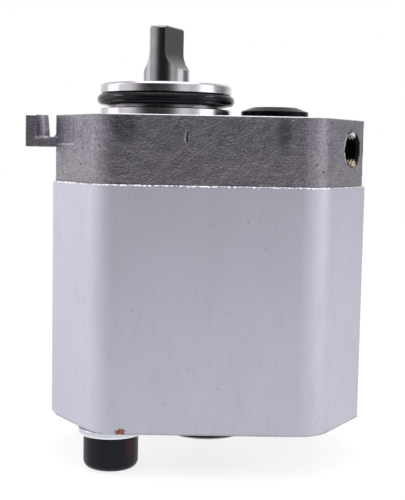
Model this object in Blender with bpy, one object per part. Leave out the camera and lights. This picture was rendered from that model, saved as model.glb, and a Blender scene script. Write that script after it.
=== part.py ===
"""Hydraulic gear pump: cast front cover, extruded body, two meshed gears in bearing blocks, seals and screws.

Metres, +Z up along the drive shaft. The origin is on the shaft's axis, in the mounting face of the cover.
+X runs from the drive gear to the driven gear, and -Y is the suction side.
"""

import math

import bmesh
import bpy
from mathutils import Matrix, Vector

# Gears
TEETH = 12
MODULE = 0.00225
PRESSURE_ANGLE = math.radians(22.5)
GEAR_WIDTH = 0.014
BACKLASH = 0.0002
ROOT_FLARE = math.radians(1.7)
TOOTH_FLANK_STEPS = 4

# Shafts and the drive tang
SHAFT_DIAMETER = 0.014
SHAFT_REACH = 0.0272
SHAFT_CHAMFER = 0.0005
TANG_THICKNESS = 0.0052
TANG_FLAT_START = 0.02
TANG_RUNOUT_RADIUS = 0.006
TANG_ANGLE = math.radians(-25.0)

# Bearing blocks, bushes and the seals behind the blocks
BLOCK_LENGTH = 0.0175
BUSH_WALL = 0.0015
BUSH_SHORTFALL = 0.0012
RELIEF_RADIUS = 0.004
RELIEF_DEPTH = 0.0015
RELIEF_OFFSET = 0.0075
PRESSURE_SEAL_PATH_RADIUS = 0.0114
PRESSURE_SEAL_WIDTH = 0.0018
PRESSURE_SEAL_DEPTH = 0.002
BACKUP_WIDTH = 0.001
SEAL_LEG_LENGTH = 0.0026
SEAL_LEG_ANGLE = math.radians(160.0)
SEAL_WAIST_ANGLE = math.radians(330.0)

# Clearances
SEAT_GAP = 0.0002
TIP_CLEARANCE = 0.00025
RUNNING_CLEARANCE = 0.00015
FIT_GAP = 0.00015
SHAFT_BORE_CLEARANCE = 0.0005
SCREW_CLEARANCE = 0.0005
THREAD_CLEARANCE = 0.0002
OVERCUT = 0.001

# Body
BODY_WIDTH = 0.0935
BODY_DEPTH = 0.068
BODY_LENGTH = 0.0708
CORNER_CUT_X = 0.01525
CORNER_CUT_Y = 0.0243
FRONT_CORNER_RADIUS = 0.011
SIDE_CORNER_RADIUS = 0.0008
SUCTION_PORT_DIAMETER = 0.021
SUCTION_PORT_FLOOR = 0.006
SUCTION_PORT_OFFSET = 0.0144
SUCTION_DUCT_DIAMETER = 0.013
SUCTION_DUCT_OFFSET = 0.017
SUCTION_WINDOW_WIDTH = 0.012
SPOT_FACE_MARGIN = 0.001
SPOT_FACE_DEPTH = 0.0003
PRESSURE_DUCT_DIAMETER = 0.009
PRESSURE_DUCT_OFFSET = 0.0125
COVER_SEAL_PATH_RADIUS = 0.0197
COVER_SEAL_CORD = 0.0022
COVER_SEAL_SQUEEZE = 0.0003

# Front cover
COVER_THICKNESS = 0.0193
COVER_INSET = 0.0008
COVER_EDGE_CHAMFER = 0.0004
SPIGOT_DIAMETER = 0.040
SPIGOT_BASE_HEIGHT = 0.00245
SPIGOT_DISC_HEIGHT = 0.00285
SPIGOT_CHAMFER = 0.0006
SPIGOT_HEIGHT = 0.0099
O_RING_CORD = 0.00353
O_RING_SQUEEZE_GAP = 0.0001
O_RING_STAND = 0.001
SEAL_DIAMETER = 0.024
SEAL_HEIGHT = 0.007
SEAL_WALL = 0.0012
SEAL_LIP_REACH = 0.0042
RING_THICKNESS = 0.0012
RING_WIDTH = 0.0022
RING_GROOVE_DEPTH = 0.0009
RING_OPENING = math.radians(50.0)
SPRING_CORD = 0.0014
DRAIN_DIAMETER = 0.003

# Pressure port, its side tapping and the side lug
PRESSURE_PORT_X = 0.0332
PRESSURE_PORT_DIAMETER = 0.0166
PRESSURE_PORT_DEPTH = 0.012
PRESSURE_DRILLING_DIAMETER = 0.007
TAPPING_DIAMETER = 0.0086
TAPPING_COUNTERSINK = 0.0112
TAPPING_DEPTH_BELOW_FACE = 0.00865
TAPPING_ALONG_CHAMFER = 0.0082
LUG_REACH = 0.0092
LUG_LENGTH = 0.0062
LUG_SETBACK = 0.0007
LUG_HEIGHT = 0.00955
LUG_FLOOR_THICKNESS = 0.003
LUG_SLOT_WIDTH = 0.0027
LUG_SLOT_FILLET = 0.0009
LUG_POCKET_RADIUS = 0.003
LUG_POCKET_OUTER_WALL = 0.0021
LUG_POCKET_SETBACK = 0.0007

# Fasteners
SCREW_TO_SIDE = 0.01905
SCREW_TO_FRONT = 0.0104
SCREW_DIAMETER = 0.010
SCREW_ENGAGEMENT = 0.012
SCREW_HEAD_DIAMETER = 0.016
SCREW_HEAD_HEIGHT = 0.010
SCREW_HEAD_ROUNDING = 0.0013
SCREW_SOCKET_FLATS = 0.008
SCREW_SOCKET_DEPTH = 0.005
SCREW_HOLE_SPARE = 0.002
WASHER_DIAMETER = 0.019
WASHER_THICKNESS = 0.0016
DOWEL_DIAMETER = 0.006
DOWEL_LENGTH = 0.014
DOWEL_CHAMFER = 0.0006

# Transit plugs
PRESSURE_PLUG_DIAMETER = 0.0205
SUCTION_PLUG_DIAMETER = 0.029
PLUG_FLANGE_THICKNESS = 0.0024
PLUG_CROWN_HEIGHT = 0.001
PLUG_CROWN_SHRINK = 0.0042
PLUG_STEM_LENGTH = 0.007
PLUG_STEM_WALL = 0.0014
PLUG_STEM_TAPER = 0.0004
PLUG_RIDGE_HEIGHT = 0.0006
PLUG_RIDGE_DEPTH = 0.0035
PLUG_RIDGE_HALF_WIDTH = 0.0007

# Facets
BORE_SEGMENTS = 46
INNER_SEGMENTS = 28
SMALL_SEGMENTS = 20
DRAIN_SEGMENTS = 12
CORD_SEGMENTS = 8
LOBE_SEGMENTS = 12
SEAL_PATH_SEGMENTS = 14
RING_PATH_SEGMENTS = 28
CORNER_SEGMENTS = 6
SHARP_CORNER_SEGMENTS = 2
FILLET_SEGMENTS = 4
SMALLEST_CORNER_RADIUS = 0.0001
SHARP_ANGLE = math.radians(35.0)
MERGE_DISTANCE = 1e-7

# Derived places
CENTRE_DISTANCE = TEETH * MODULE
TIP_RADIUS = MODULE * (TEETH / 2 + 1)
ROOT_RADIUS = MODULE * (TEETH / 2 - 1.25)
SHAFT_RADIUS = SHAFT_DIAMETER / 2
MIDDLE_X = CENTRE_DISTANCE / 2
COVER_REAR = -COVER_THICKNESS
BODY_FRONT = COVER_REAR - SEAT_GAP
BODY_REAR = BODY_FRONT - BODY_LENGTH
FRONT_BLOCK_TOP = BODY_FRONT - SEAT_GAP
GEAR_TOP = FRONT_BLOCK_TOP - BLOCK_LENGTH - SEAT_GAP
GEAR_BOTTOM = GEAR_TOP - GEAR_WIDTH
REAR_BLOCK_TOP = GEAR_BOTTOM - SEAT_GAP
BORE_FLOOR = REAR_BLOCK_TOP - BLOCK_LENGTH - SEAT_GAP
BORE_RADIUS = TIP_RADIUS + TIP_CLEARANCE
BLOCK_RADIUS = BORE_RADIUS - RUNNING_CLEARANCE
BUSH_INNER_RADIUS = SHAFT_RADIUS + RUNNING_CLEARANCE
BUSH_OUTER_RADIUS = BUSH_INNER_RADIUS + BUSH_WALL
BUSH_LENGTH = BLOCK_LENGTH - BUSH_SHORTFALL
SHAFT_CENTRES = (0.0, CENTRE_DISTANCE)
REAR_WALL = BORE_FLOOR - BODY_REAR
SUCTION_PORT_DEPTH = REAR_WALL - SUCTION_PORT_FLOOR
SCREW_X_OFFSET = BODY_WIDTH / 2 - SCREW_TO_SIDE
SCREW_Y_OFFSET = BODY_DEPTH / 2 - SCREW_TO_FRONT
SCREW_PLACES = (
    (MIDDLE_X - SCREW_X_OFFSET, -SCREW_Y_OFFSET),
    (MIDDLE_X + SCREW_X_OFFSET, SCREW_Y_OFFSET),
)
DOWEL_PLACES = (
    (MIDDLE_X - SCREW_X_OFFSET, SCREW_Y_OFFSET),
    (MIDDLE_X + SCREW_X_OFFSET, -SCREW_Y_OFFSET),
)
WASHER_TOP = BODY_REAR - SEAT_GAP
HEAD_TOP = WASHER_TOP - WASHER_THICKNESS - SEAT_GAP
SCREW_LENGTH = COVER_REAR - HEAD_TOP + SCREW_ENGAGEMENT
SEAL_BORE_RADIUS = SEAL_DIAMETER / 2 + FIT_GAP
SEAL_FLOOR = -SEAT_GAP
SEAL_BOTTOM = SEAL_FLOOR + SEAT_GAP
RING_BOTTOM = SEAL_BOTTOM + SEAL_HEIGHT + SEAT_GAP
DISC_BOTTOM = SPIGOT_HEIGHT - SPIGOT_DISC_HEIGHT
O_RING_Z = DISC_BOTTOM - O_RING_SQUEEZE_GAP - O_RING_CORD / 2
O_RING_RADIUS = SPIGOT_DIAMETER / 2 + O_RING_STAND - O_RING_CORD / 2
SPIGOT_GROOVE_RADIUS = O_RING_RADIUS - O_RING_CORD / 2 - FIT_GAP
COVER_SIDE_X = MIDDLE_X - BODY_WIDTH / 2 + COVER_INSET
SUCTION_PORT = (MIDDLE_X, -SUCTION_PORT_OFFSET)
SUCTION_DUCT = (MIDDLE_X, -SUCTION_DUCT_OFFSET)
PRESSURE_DUCT = (MIDDLE_X, PRESSURE_DUCT_OFFSET)


# ---- Mesh tools ----


def clear_scene():
    for obj in list(bpy.data.objects):
        bpy.data.objects.remove(obj, do_unlink=True)


def material(name, colour, roughness, metallic):
    made = bpy.data.materials.new(name)
    made.use_nodes = True
    shader = made.node_tree.nodes["Principled BSDF"]
    shader.inputs["Base Color"].default_value = (*colour, 1.0)
    shader.inputs["Roughness"].default_value = roughness
    shader.inputs["Metallic"].default_value = metallic
    made.diffuse_color = (*colour, 1.0)
    return made


def finish_mesh(bm, name):
    """Closes the bmesh into a mesh whose faces point out and whose round sides are smooth."""
    bmesh.ops.remove_doubles(bm, verts=bm.verts, dist=MERGE_DISTANCE)
    bmesh.ops.recalc_face_normals(bm, faces=bm.faces)
    for edge in bm.edges:
        edge.smooth = edge.calc_face_angle() < SHARP_ANGLE
    for face in bm.faces:
        face.smooth = any(edge.smooth for edge in face.edges)
    mesh = bpy.data.meshes.new(name)
    bm.to_mesh(mesh)
    bm.free()
    return mesh


def place(name, mesh, look=None, at=(0.0, 0.0, 0.0)):
    obj = bpy.data.objects.new(name, mesh)
    obj.location = at
    bpy.context.scene.collection.objects.link(obj)
    if look:
        obj.data.materials.append(look)
    return obj


def loft(name, rings):
    """A closed solid through rings of (x, y, z) points, each with as many points as the next."""
    bm = bmesh.new()
    loops = [[bm.verts.new(point) for point in ring] for ring in rings]
    count = len(loops[0])
    for low, high in zip(loops, loops[1:]):
        for i in range(count):
            j = (i + 1) % count
            bm.faces.new((low[i], low[j], high[j], high[i]))
    bm.faces.new(list(reversed(loops[0])))
    bm.faces.new(loops[-1])
    return finish_mesh(bm, name)


def prism(name, outline, bottom, top):
    return loft(name, [[(x, y, z) for x, y in outline] for z in (bottom, top)])


def turned(name, profile, segments=BORE_SEGMENTS):
    """A solid of revolution about Z. The profile is a closed chain of (radius, z) points."""
    bm = bmesh.new()
    verts = [bm.verts.new((radius, 0.0, z)) for radius, z in profile]
    edges = [bm.edges.new((a, b)) for a, b in zip(verts, verts[1:])]
    on_axis = profile[0][0] == 0.0 and profile[-1][0] == 0.0
    if not on_axis:
        edges.append(bm.edges.new((verts[-1], verts[0])))
    bmesh.ops.spin(
        bm,
        geom=verts + edges,
        cent=(0.0, 0.0, 0.0),
        axis=(0.0, 0.0, 1.0),
        angle=math.tau,
        steps=segments,
        use_merge=True,
    )
    if on_axis:
        close_caps(bm)
    return finish_mesh(bm, name)


def close_caps(bm):
    """Turns each flat fan of faces about the axis into one face."""
    bmesh.ops.remove_doubles(bm, verts=bm.verts, dist=MERGE_DISTANCE)
    hubs = [vert for vert in bm.verts if vert.co.xy.length < MERGE_DISTANCE]
    bmesh.ops.dissolve_verts(bm, verts=hubs)


def corded(name, path, cord_radius, z):
    """A ring of round cord along a closed flat path."""
    bm = bmesh.new()
    count = len(path)
    loops = []
    for i, (x, y) in enumerate(path):
        before, after = path[i - 1], path[(i + 1) % count]
        along = Vector((after[0] - before[0], after[1] - before[1], 0.0)).normalized()
        out = Vector((along.y, -along.x, 0.0))
        centre = Vector((x, y, z))
        loop = []
        for k in range(CORD_SEGMENTS):
            turn = math.tau * k / CORD_SEGMENTS
            offset = out * math.cos(turn) + Vector((0.0, 0.0, 1.0)) * math.sin(turn)
            loop.append(bm.verts.new(centre + offset * cord_radius))
        loops.append(loop)
    for loop, following in zip(loops, loops[1:] + loops[:1]):
        for k in range(CORD_SEGMENTS):
            j = (k + 1) % CORD_SEGMENTS
            bm.faces.new((loop[k], following[k], following[j], loop[j]))
    return finish_mesh(bm, name)


def boolean(target, tool, operation):
    """Cuts the tool from the target or joins it to it, and hides the tool."""
    tool.hide_render = True
    tool.display_type = "WIRE"
    step = target.modifiers.new(f"{operation.title()} {tool.name}", "BOOLEAN")
    step.operation = operation
    step.solver = "EXACT"
    step.object = tool


def cut(target, *tools):
    for tool in tools:
        boolean(target, tool, "DIFFERENCE")


def join(target, *tools):
    for tool in tools:
        boolean(target, tool, "UNION")


def drill(name, radius, at, bottom, top, segments=SMALL_SEGMENTS):
    """An upright round cutter or helper."""
    profile = [(0.0, top), (radius, top), (radius, bottom), (0.0, bottom)]
    return place(name, turned(name, profile, segments), at=(*at, 0.0))


def slanted_drill(name, radius, start, end, segments=SMALL_SEGMENTS):
    """A round cutter from one point to another."""
    along = Vector(end) - Vector(start)
    profile = [(0.0, along.length), (radius, along.length), (radius, 0.0), (0.0, 0.0)]
    tool = place(name, turned(name, profile, segments), at=start)
    tool.rotation_mode = "QUATERNION"
    tool.rotation_quaternion = Vector((0.0, 0.0, 1.0)).rotation_difference(along)
    return tool


# ---- Outlines ----


def arc(centre, radius, start, end, steps):
    points = []
    for i in range(steps + 1):
        turn = start + (end - start) * i / steps
        points.append((centre[0] + radius * math.cos(turn), centre[1] + radius * math.sin(turn)))
    return points


def rounded_polygon(corners, inset):
    """A convex outline, counter-clockwise, from (x, y, radius) corners, moved inward by inset."""
    count = len(corners)
    points = [Vector(corner[:2]) for corner in corners]
    sides = []
    for i in range(count):
        along = (points[(i + 1) % count] - points[i]).normalized()
        inward = Vector((-along.y, along.x))
        sides.append((points[i] + inward * inset, along))
    outline = []
    for i in range(count):
        (before, before_along), (after, after_along) = sides[i - 1], sides[i]
        cross = before_along.x * after_along.y - before_along.y * after_along.x
        gap = after - before
        travel = (gap.x * after_along.y - gap.y * after_along.x) / cross
        corner = before + before_along * travel
        radius = max(corners[i][2] - inset, SMALLEST_CORNER_RADIUS)
        turn = before_along.angle(after_along)
        start = corner - before_along * radius * math.tan(turn / 2)
        centre = start + Vector((-before_along.y, before_along.x)) * radius
        first = math.atan2(start.y - centre.y, start.x - centre.x)
        steps = CORNER_SEGMENTS if radius > SIDE_CORNER_RADIUS else SHARP_CORNER_SEGMENTS
        outline += arc(centre, radius, first, first + turn, steps)
    return outline


def housing_outline(inset=0.0):
    """The eight-sided outline that the body and the cover share."""
    side, front = BODY_WIDTH / 2, BODY_DEPTH / 2
    quarter = [
        (side, front - CORNER_CUT_Y, SIDE_CORNER_RADIUS),
        (side - CORNER_CUT_X, front, FRONT_CORNER_RADIUS),
    ]
    corners = list(quarter)
    corners += [(-x, y, radius) for x, y, radius in reversed(quarter)]
    corners += [(-x, -y, radius) for x, y, radius in quarter]
    corners += [(x, -y, radius) for x, y, radius in reversed(quarter)]
    moved = [(x + MIDDLE_X, y, radius) for x, y, radius in corners]
    return rounded_polygon(moved, inset)


def figure_eight(radius, steps=BORE_SEGMENTS):
    """Two round lobes about the shaft centres, which meet in a waist."""
    half_angle = math.acos(MIDDLE_X / radius)
    lobe = round(steps * (1 - half_angle / math.pi))
    right = arc((CENTRE_DISTANCE, 0.0), radius, half_angle - math.pi, math.pi - half_angle, lobe)
    left = arc((0.0, 0.0), radius, half_angle, math.tau - half_angle, lobe)
    return right[:-1] + left[:-1]


def stadium(radius, steps=LOBE_SEGMENTS):
    """A racetrack about both shaft centres."""
    quarter = math.pi / 2
    right = arc((CENTRE_DISTANCE, 0.0), radius, -quarter, quarter, steps)
    left = arc((0.0, 0.0), radius, quarter, 3 * quarter, steps)
    return right + left


def ribbon(path, low, high):
    """The outline of a strip beside an open path, between two sideways offsets."""
    shifted = {low: [], high: []}
    for i, point in enumerate(path):
        here = Vector(point)
        before = (here - Vector(path[i - 1])).normalized() if i else None
        after = (Vector(path[i + 1]) - here).normalized() if i + 1 < len(path) else None
        before = before or after
        after = after or before
        bisector = Vector((-(before.y + after.y), before.x + after.x)).normalized()
        stretch = 1.0 / bisector.dot(Vector((-before.y, before.x)))
        for offset, points in shifted.items():
            points.append(tuple(here + bisector * offset * stretch))
    return shifted[low] + list(reversed(shifted[high]))


def pressure_seal_path():
    """The three-shaped line round the suction side of both shafts, with a leg to each end of the block."""
    radius = PRESSURE_SEAL_PATH_RADIUS
    left = arc((0.0, 0.0), radius, SEAL_LEG_ANGLE, SEAL_WAIST_ANGLE, SEAL_PATH_SEGMENTS)
    leg_radius = radius + SEAL_LEG_LENGTH
    leg = (leg_radius * math.cos(SEAL_LEG_ANGLE), leg_radius * math.sin(SEAL_LEG_ANGLE))
    half = [leg] + left
    return half + [(CENTRE_DISTANCE - x, y) for x, y in reversed(half)]


def involute(angle):
    return math.tan(angle) - angle


def flank_points():
    """(radius, half angle) pairs up one involute flank of a tooth."""
    pitch_radius = MODULE * TEETH / 2
    base_radius = pitch_radius * math.cos(PRESSURE_ANGLE)
    half = math.pi / (2 * TEETH) - BACKLASH / (2 * pitch_radius) + involute(PRESSURE_ANGLE)
    points = []
    for i in range(TOOTH_FLANK_STEPS + 1):
        radius = base_radius + (TIP_RADIUS - base_radius) * i / TOOTH_FLANK_STEPS
        points.append((radius, half - involute(math.acos(min(1.0, base_radius / radius)))))
    return points


def gear_outline(phase):
    flank = flank_points()
    root_half = flank[0][1] + ROOT_FLARE
    outline = []
    for tooth in range(TEETH):
        middle = math.tau * tooth / TEETH + phase
        polar = [(ROOT_RADIUS, middle - root_half)]
        polar += [(radius, middle - half) for radius, half in flank]
        polar += [(radius, middle + half) for radius, half in reversed(flank)]
        polar += [(ROOT_RADIUS, middle + root_half)]
        outline += [(radius * math.cos(turn), radius * math.sin(turn)) for radius, turn in polar]
    return outline


# ---- Pieces that turn ----


def shaft_profile(bottom, top):
    chamfered = SHAFT_RADIUS - SHAFT_CHAMFER
    return [
        (0.0, top),
        (chamfered, top),
        (SHAFT_RADIUS, top - SHAFT_CHAMFER),
        (SHAFT_RADIUS, bottom + SHAFT_CHAMFER),
        (chamfered, bottom),
        (0.0, bottom),
    ]


def toothed_shaft(name, look, at, phase, shaft_top):
    """A gear and its shaft in one piece, with its origin on its own axis."""
    shaft_bottom = REAR_BLOCK_TOP - BUSH_LENGTH
    gear = place(name, prism(name, gear_outline(phase), GEAR_BOTTOM, GEAR_TOP), look, at)
    shaft_mesh = turned(f"{name}_shaft", shaft_profile(shaft_bottom, shaft_top))
    join(gear, place(f"{name}_shaft", shaft_mesh, at=at))
    return gear


def tang_cutter(side):
    """Takes one flat off the shaft's end, with the round run-out that a side cutter leaves."""
    flat = TANG_THICKNESS / 2
    reach = SHAFT_DIAMETER
    centre = (flat + TANG_RUNOUT_RADIUS, TANG_FLAT_START)
    runout = arc(centre, TANG_RUNOUT_RADIUS, math.pi, 1.5 * math.pi, CORNER_SEGMENTS)
    chain = [(flat, SHAFT_REACH + OVERCUT)] + runout
    chain += [(reach, TANG_FLAT_START - TANG_RUNOUT_RADIUS), (reach, SHAFT_REACH + OVERCUT)]
    name = f"tang_cutter_{side}"
    rings = [[(x, y, z) for x, z in chain] for y in (-reach, reach)]
    tool = place(name, loft(name, rings))
    tool.rotation_euler.z = TANG_ANGLE + (math.pi if side else 0.0)
    return tool


def make_gears(steel):
    drive = toothed_shaft("drive_gear", steel, (0.0, 0.0, 0.0), 0.0, SHAFT_REACH)
    cut(drive, tang_cutter(0), tang_cutter(1))
    half_pitch = math.pi / TEETH
    driven_top = FRONT_BLOCK_TOP - BUSH_SHORTFALL
    toothed_shaft("driven_gear", steel, (CENTRE_DISTANCE, 0.0, 0.0), half_pitch, driven_top)


# ---- Bearing blocks and what sits in them ----


def make_block(name, look, bottom, gear_side_up):
    """A bearing block, its two bushes' bores, its relief pockets and its seal groove."""
    top = bottom + BLOCK_LENGTH
    block = place(name, prism(name, figure_eight(BLOCK_RADIUS), bottom, top), look)
    bore_radius = BUSH_OUTER_RADIUS + FIT_GAP
    for i, x in enumerate(SHAFT_CENTRES):
        low, high = bottom - OVERCUT, top + OVERCUT
        cut(block, drill(f"{name}_bore_{i}", bore_radius, (x, 0.0), low, high, INNER_SEGMENTS))
    gear_face = top if gear_side_up else bottom
    for i, y in enumerate((RELIEF_OFFSET, -RELIEF_OFFSET)):
        low, high = gear_face - RELIEF_DEPTH, gear_face + RELIEF_DEPTH
        cut(block, drill(f"{name}_relief_{i}", RELIEF_RADIUS, (MIDDLE_X, y), low, high))
    seal_face = bottom if gear_side_up else top
    inward = 1.0 if gear_side_up else -1.0
    half_width = (PRESSURE_SEAL_WIDTH + BACKUP_WIDTH + 3 * FIT_GAP) / 2
    outline = ribbon(pressure_seal_path(), -half_width, half_width)
    depth = PRESSURE_SEAL_DEPTH + FIT_GAP
    low, high = sorted((seal_face + inward * depth, seal_face - inward * OVERCUT))
    groove = f"{name}_groove"
    cut(block, place(groove, prism(groove, outline, low, high)))
    low, high = sorted((seal_face, seal_face + inward * PRESSURE_SEAL_DEPTH))
    return half_width, low, high


def make_block_seals(end, half_width, low, high, rubber, plastic):
    """The shaped seal on the pressure side of the groove and the backup strip beside it."""
    path = pressure_seal_path()
    name = f"{end}_pressure_seal"
    outer = -half_width + FIT_GAP
    seal = ribbon(path, outer, outer + PRESSURE_SEAL_WIDTH)
    place(name, prism(name, seal, low, high), rubber)
    name = f"{end}_seal_backup"
    inner = half_width - FIT_GAP
    strip = ribbon(path, inner - BACKUP_WIDTH, inner)
    place(name, prism(name, strip, low, high), plastic)


def make_bearings(aluminium, bronze, rubber, plastic):
    bush_profile = [
        (BUSH_OUTER_RADIUS, BUSH_LENGTH),
        (BUSH_OUTER_RADIUS, 0.0),
        (BUSH_INNER_RADIUS, 0.0),
        (BUSH_INNER_RADIUS, BUSH_LENGTH),
    ]
    bush_mesh = turned("bush", bush_profile, INNER_SEGMENTS)
    bush_mesh.materials.append(bronze)
    front_bottom = FRONT_BLOCK_TOP - BLOCK_LENGTH
    rear_bottom = REAR_BLOCK_TOP - BLOCK_LENGTH
    ends = (("front", front_bottom, False), ("rear", rear_bottom, True))
    for end, bottom, gear_side_up in ends:
        seat = make_block(f"{end}_bearing_block", aluminium, bottom, gear_side_up)
        make_block_seals(end, *seat, rubber, plastic)
        bush_bottom = bottom + (BLOCK_LENGTH - BUSH_LENGTH if gear_side_up else 0.0)
        for shaft, x in zip(("drive", "driven"), SHAFT_CENTRES):
            place(f"{end}_{shaft}_bush", bush_mesh, at=(x, 0.0, bush_bottom))


# ---- Body and front cover ----


def make_body(aluminium):
    name = "pump_body"
    body = place(name, prism(name, housing_outline(), BODY_REAR, BODY_FRONT), aluminium)
    above = BODY_FRONT + OVERCUT
    bore = prism("gear_bore", figure_eight(BORE_RADIUS), BORE_FLOOR, above)
    cut(body, place("gear_bore", bore))
    port_radius = SUCTION_PORT_DIAMETER / 2
    spot_radius = SUCTION_PLUG_DIAMETER / 2 + SPOT_FACE_MARGIN
    below = BODY_REAR - OVERCUT
    port_roof, spot_roof = BODY_REAR + SUCTION_PORT_DEPTH, BODY_REAR + SPOT_FACE_DEPTH
    cut(
        body,
        drill("suction_bore", port_radius, SUCTION_PORT, below, port_roof, BORE_SEGMENTS),
        drill("suction_duct", SUCTION_DUCT_DIAMETER / 2, SUCTION_DUCT, below, GEAR_TOP),
        suction_window(),
        drill("spot_face", spot_radius, SUCTION_PORT, below, spot_roof, BORE_SEGMENTS),
        drill("pressure_duct", PRESSURE_DUCT_DIAMETER / 2, PRESSURE_DUCT, GEAR_BOTTOM, above),
    )
    for i, at in enumerate(SCREW_PLACES):
        radius = SCREW_DIAMETER / 2 + SCREW_CLEARANCE
        cut(body, drill(f"body_screw_hole_{i}", radius, at, below, above))
    for i, at in enumerate(DOWEL_PLACES):
        floor = BODY_FRONT - DOWEL_LENGTH / 2 - SEAT_GAP
        cut(body, drill(f"body_dowel_hole_{i}", DOWEL_DIAMETER / 2 + FIT_GAP, at, floor, above))
    half_width = COVER_SEAL_CORD / 2 + FIT_GAP
    floor = BODY_FRONT - COVER_SEAL_CORD + COVER_SEAL_SQUEEZE
    groove = prism("cover_seal_groove", stadium(COVER_SEAL_PATH_RADIUS + half_width), floor, above)
    island_outline = stadium(COVER_SEAL_PATH_RADIUS - half_width)
    island = prism("cover_seal_island", island_outline, floor - OVERCUT, above + OVERCUT)
    groove = place("cover_seal_groove", groove)
    cut(groove, place("cover_seal_island", island))
    cut(body, groove)


def suction_window():
    """Opens the suction duct to the teeth, over the gears' width."""
    half = SUCTION_WINDOW_WIDTH / 2
    near, far = -SUCTION_DUCT_OFFSET, -ROOT_RADIUS / 2
    outline = [(-half, near), (half, near), (half, far), (-half, far)]
    mesh = prism("suction_window", outline, GEAR_BOTTOM, GEAR_TOP - SEAT_GAP)
    return place("suction_window", mesh, at=(MIDDLE_X, 0.0, 0.0))


def make_cover_seal(rubber):
    radius = (COVER_SEAL_CORD - COVER_SEAL_SQUEEZE) / 2 - FIT_GAP / 2
    centre = BODY_FRONT - radius - FIT_GAP / 2
    mesh = corded("cover_seal", stadium(COVER_SEAL_PATH_RADIUS), radius, centre)
    place("cover_seal", mesh, rubber)


def cover_plate():
    """The plate of the cover, with a fine chamfer round its mounting face."""
    full, chamfered = housing_outline(COVER_INSET), housing_outline(COVER_INSET + COVER_EDGE_CHAMFER)
    rings = [
        [(x, y, COVER_REAR) for x, y in full],
        [(x, y, -COVER_EDGE_CHAMFER) for x, y in full],
        [(x, y, 0.0) for x, y in chamfered],
    ]
    return loft("front_cover", rings)


def spigot():
    """The pilot of the cover: base ring, groove for the O-ring, and end disc."""
    radius = SPIGOT_DIAMETER / 2
    profile = [
        (0.0, SPIGOT_HEIGHT),
        (radius - SPIGOT_CHAMFER, SPIGOT_HEIGHT),
        (radius, SPIGOT_HEIGHT - SPIGOT_CHAMFER),
        (radius, DISC_BOTTOM),
        (SPIGOT_GROOVE_RADIUS, DISC_BOTTOM),
        (SPIGOT_GROOVE_RADIUS, SPIGOT_BASE_HEIGHT),
        (radius, SPIGOT_BASE_HEIGHT),
        (radius, -OVERCUT),
        (0.0, -OVERCUT),
    ]
    return place("spigot", turned("spigot", profile))


def lug():
    """The upright ear on the cover's side: an outer wall on a floor, with a slot and a half-round pocket.

    Its root runs on inside the cover, below the slot's fillet.
    """
    left = COVER_SIDE_X - LUG_REACH
    right = COVER_SIDE_X + LUG_FLOOR_THICKNESS
    front = LUG_SETBACK - (BODY_DEPTH / 2 - CORNER_CUT_Y)
    back = front + LUG_LENGTH
    outline = [(left, front), (right, front), (right, back), (left, back)]
    ear = place("lug", prism("lug", outline, -LUG_HEIGHT, 0.0))
    floor = -LUG_HEIGHT + LUG_FLOOR_THICKNESS
    slot_left = COVER_SIDE_X - LUG_SLOT_WIDTH
    fillet = LUG_SLOT_FILLET
    corner_z = floor + fillet
    chain = [(slot_left, OVERCUT)]
    left_corner, right_corner = (slot_left + fillet, corner_z), (COVER_SIDE_X - fillet, corner_z)
    chain += arc(left_corner, fillet, math.pi, 1.5 * math.pi, FILLET_SEGMENTS)
    chain += arc(right_corner, fillet, 1.5 * math.pi, math.tau, FILLET_SEGMENTS)
    chain += [(right + OVERCUT, corner_z), (right + OVERCUT, OVERCUT)]
    rings = [[(x, y, z) for x, z in chain] for y in (front - OVERCUT, back + OVERCUT)]
    slot = place("lug_slot", loft("lug_slot", rings))
    pocket_x = left + LUG_POCKET_OUTER_WALL + LUG_POCKET_RADIUS
    pocket_at = (pocket_x, front + LUG_POCKET_SETBACK)
    pocket = drill("lug_pocket", LUG_POCKET_RADIUS, pocket_at, floor, OVERCUT)
    cut(ear, slot, pocket)
    return ear


def chamfer_frame():
    """A point and the outward normal of the front right corner cut of the cover."""
    along = Vector((-CORNER_CUT_X, -CORNER_CUT_Y, 0.0)).normalized()
    out = Vector((-along.y, along.x, 0.0))
    side_corner = Vector((MIDDLE_X + BODY_WIDTH / 2, -BODY_DEPTH / 2 + CORNER_CUT_Y, 0.0))
    point = side_corner + along * TAPPING_ALONG_CHAMFER - out * COVER_INSET
    point.z = -TAPPING_DEPTH_BELOW_FACE
    return point, out


def pressure_port():
    """The port's centre: the side tapping's axis runs through it."""
    mouth, out = chamfer_frame()
    travel = (mouth.x - PRESSURE_PORT_X) / out.x
    return PRESSURE_PORT_X, mouth.y - out.y * travel


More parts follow.
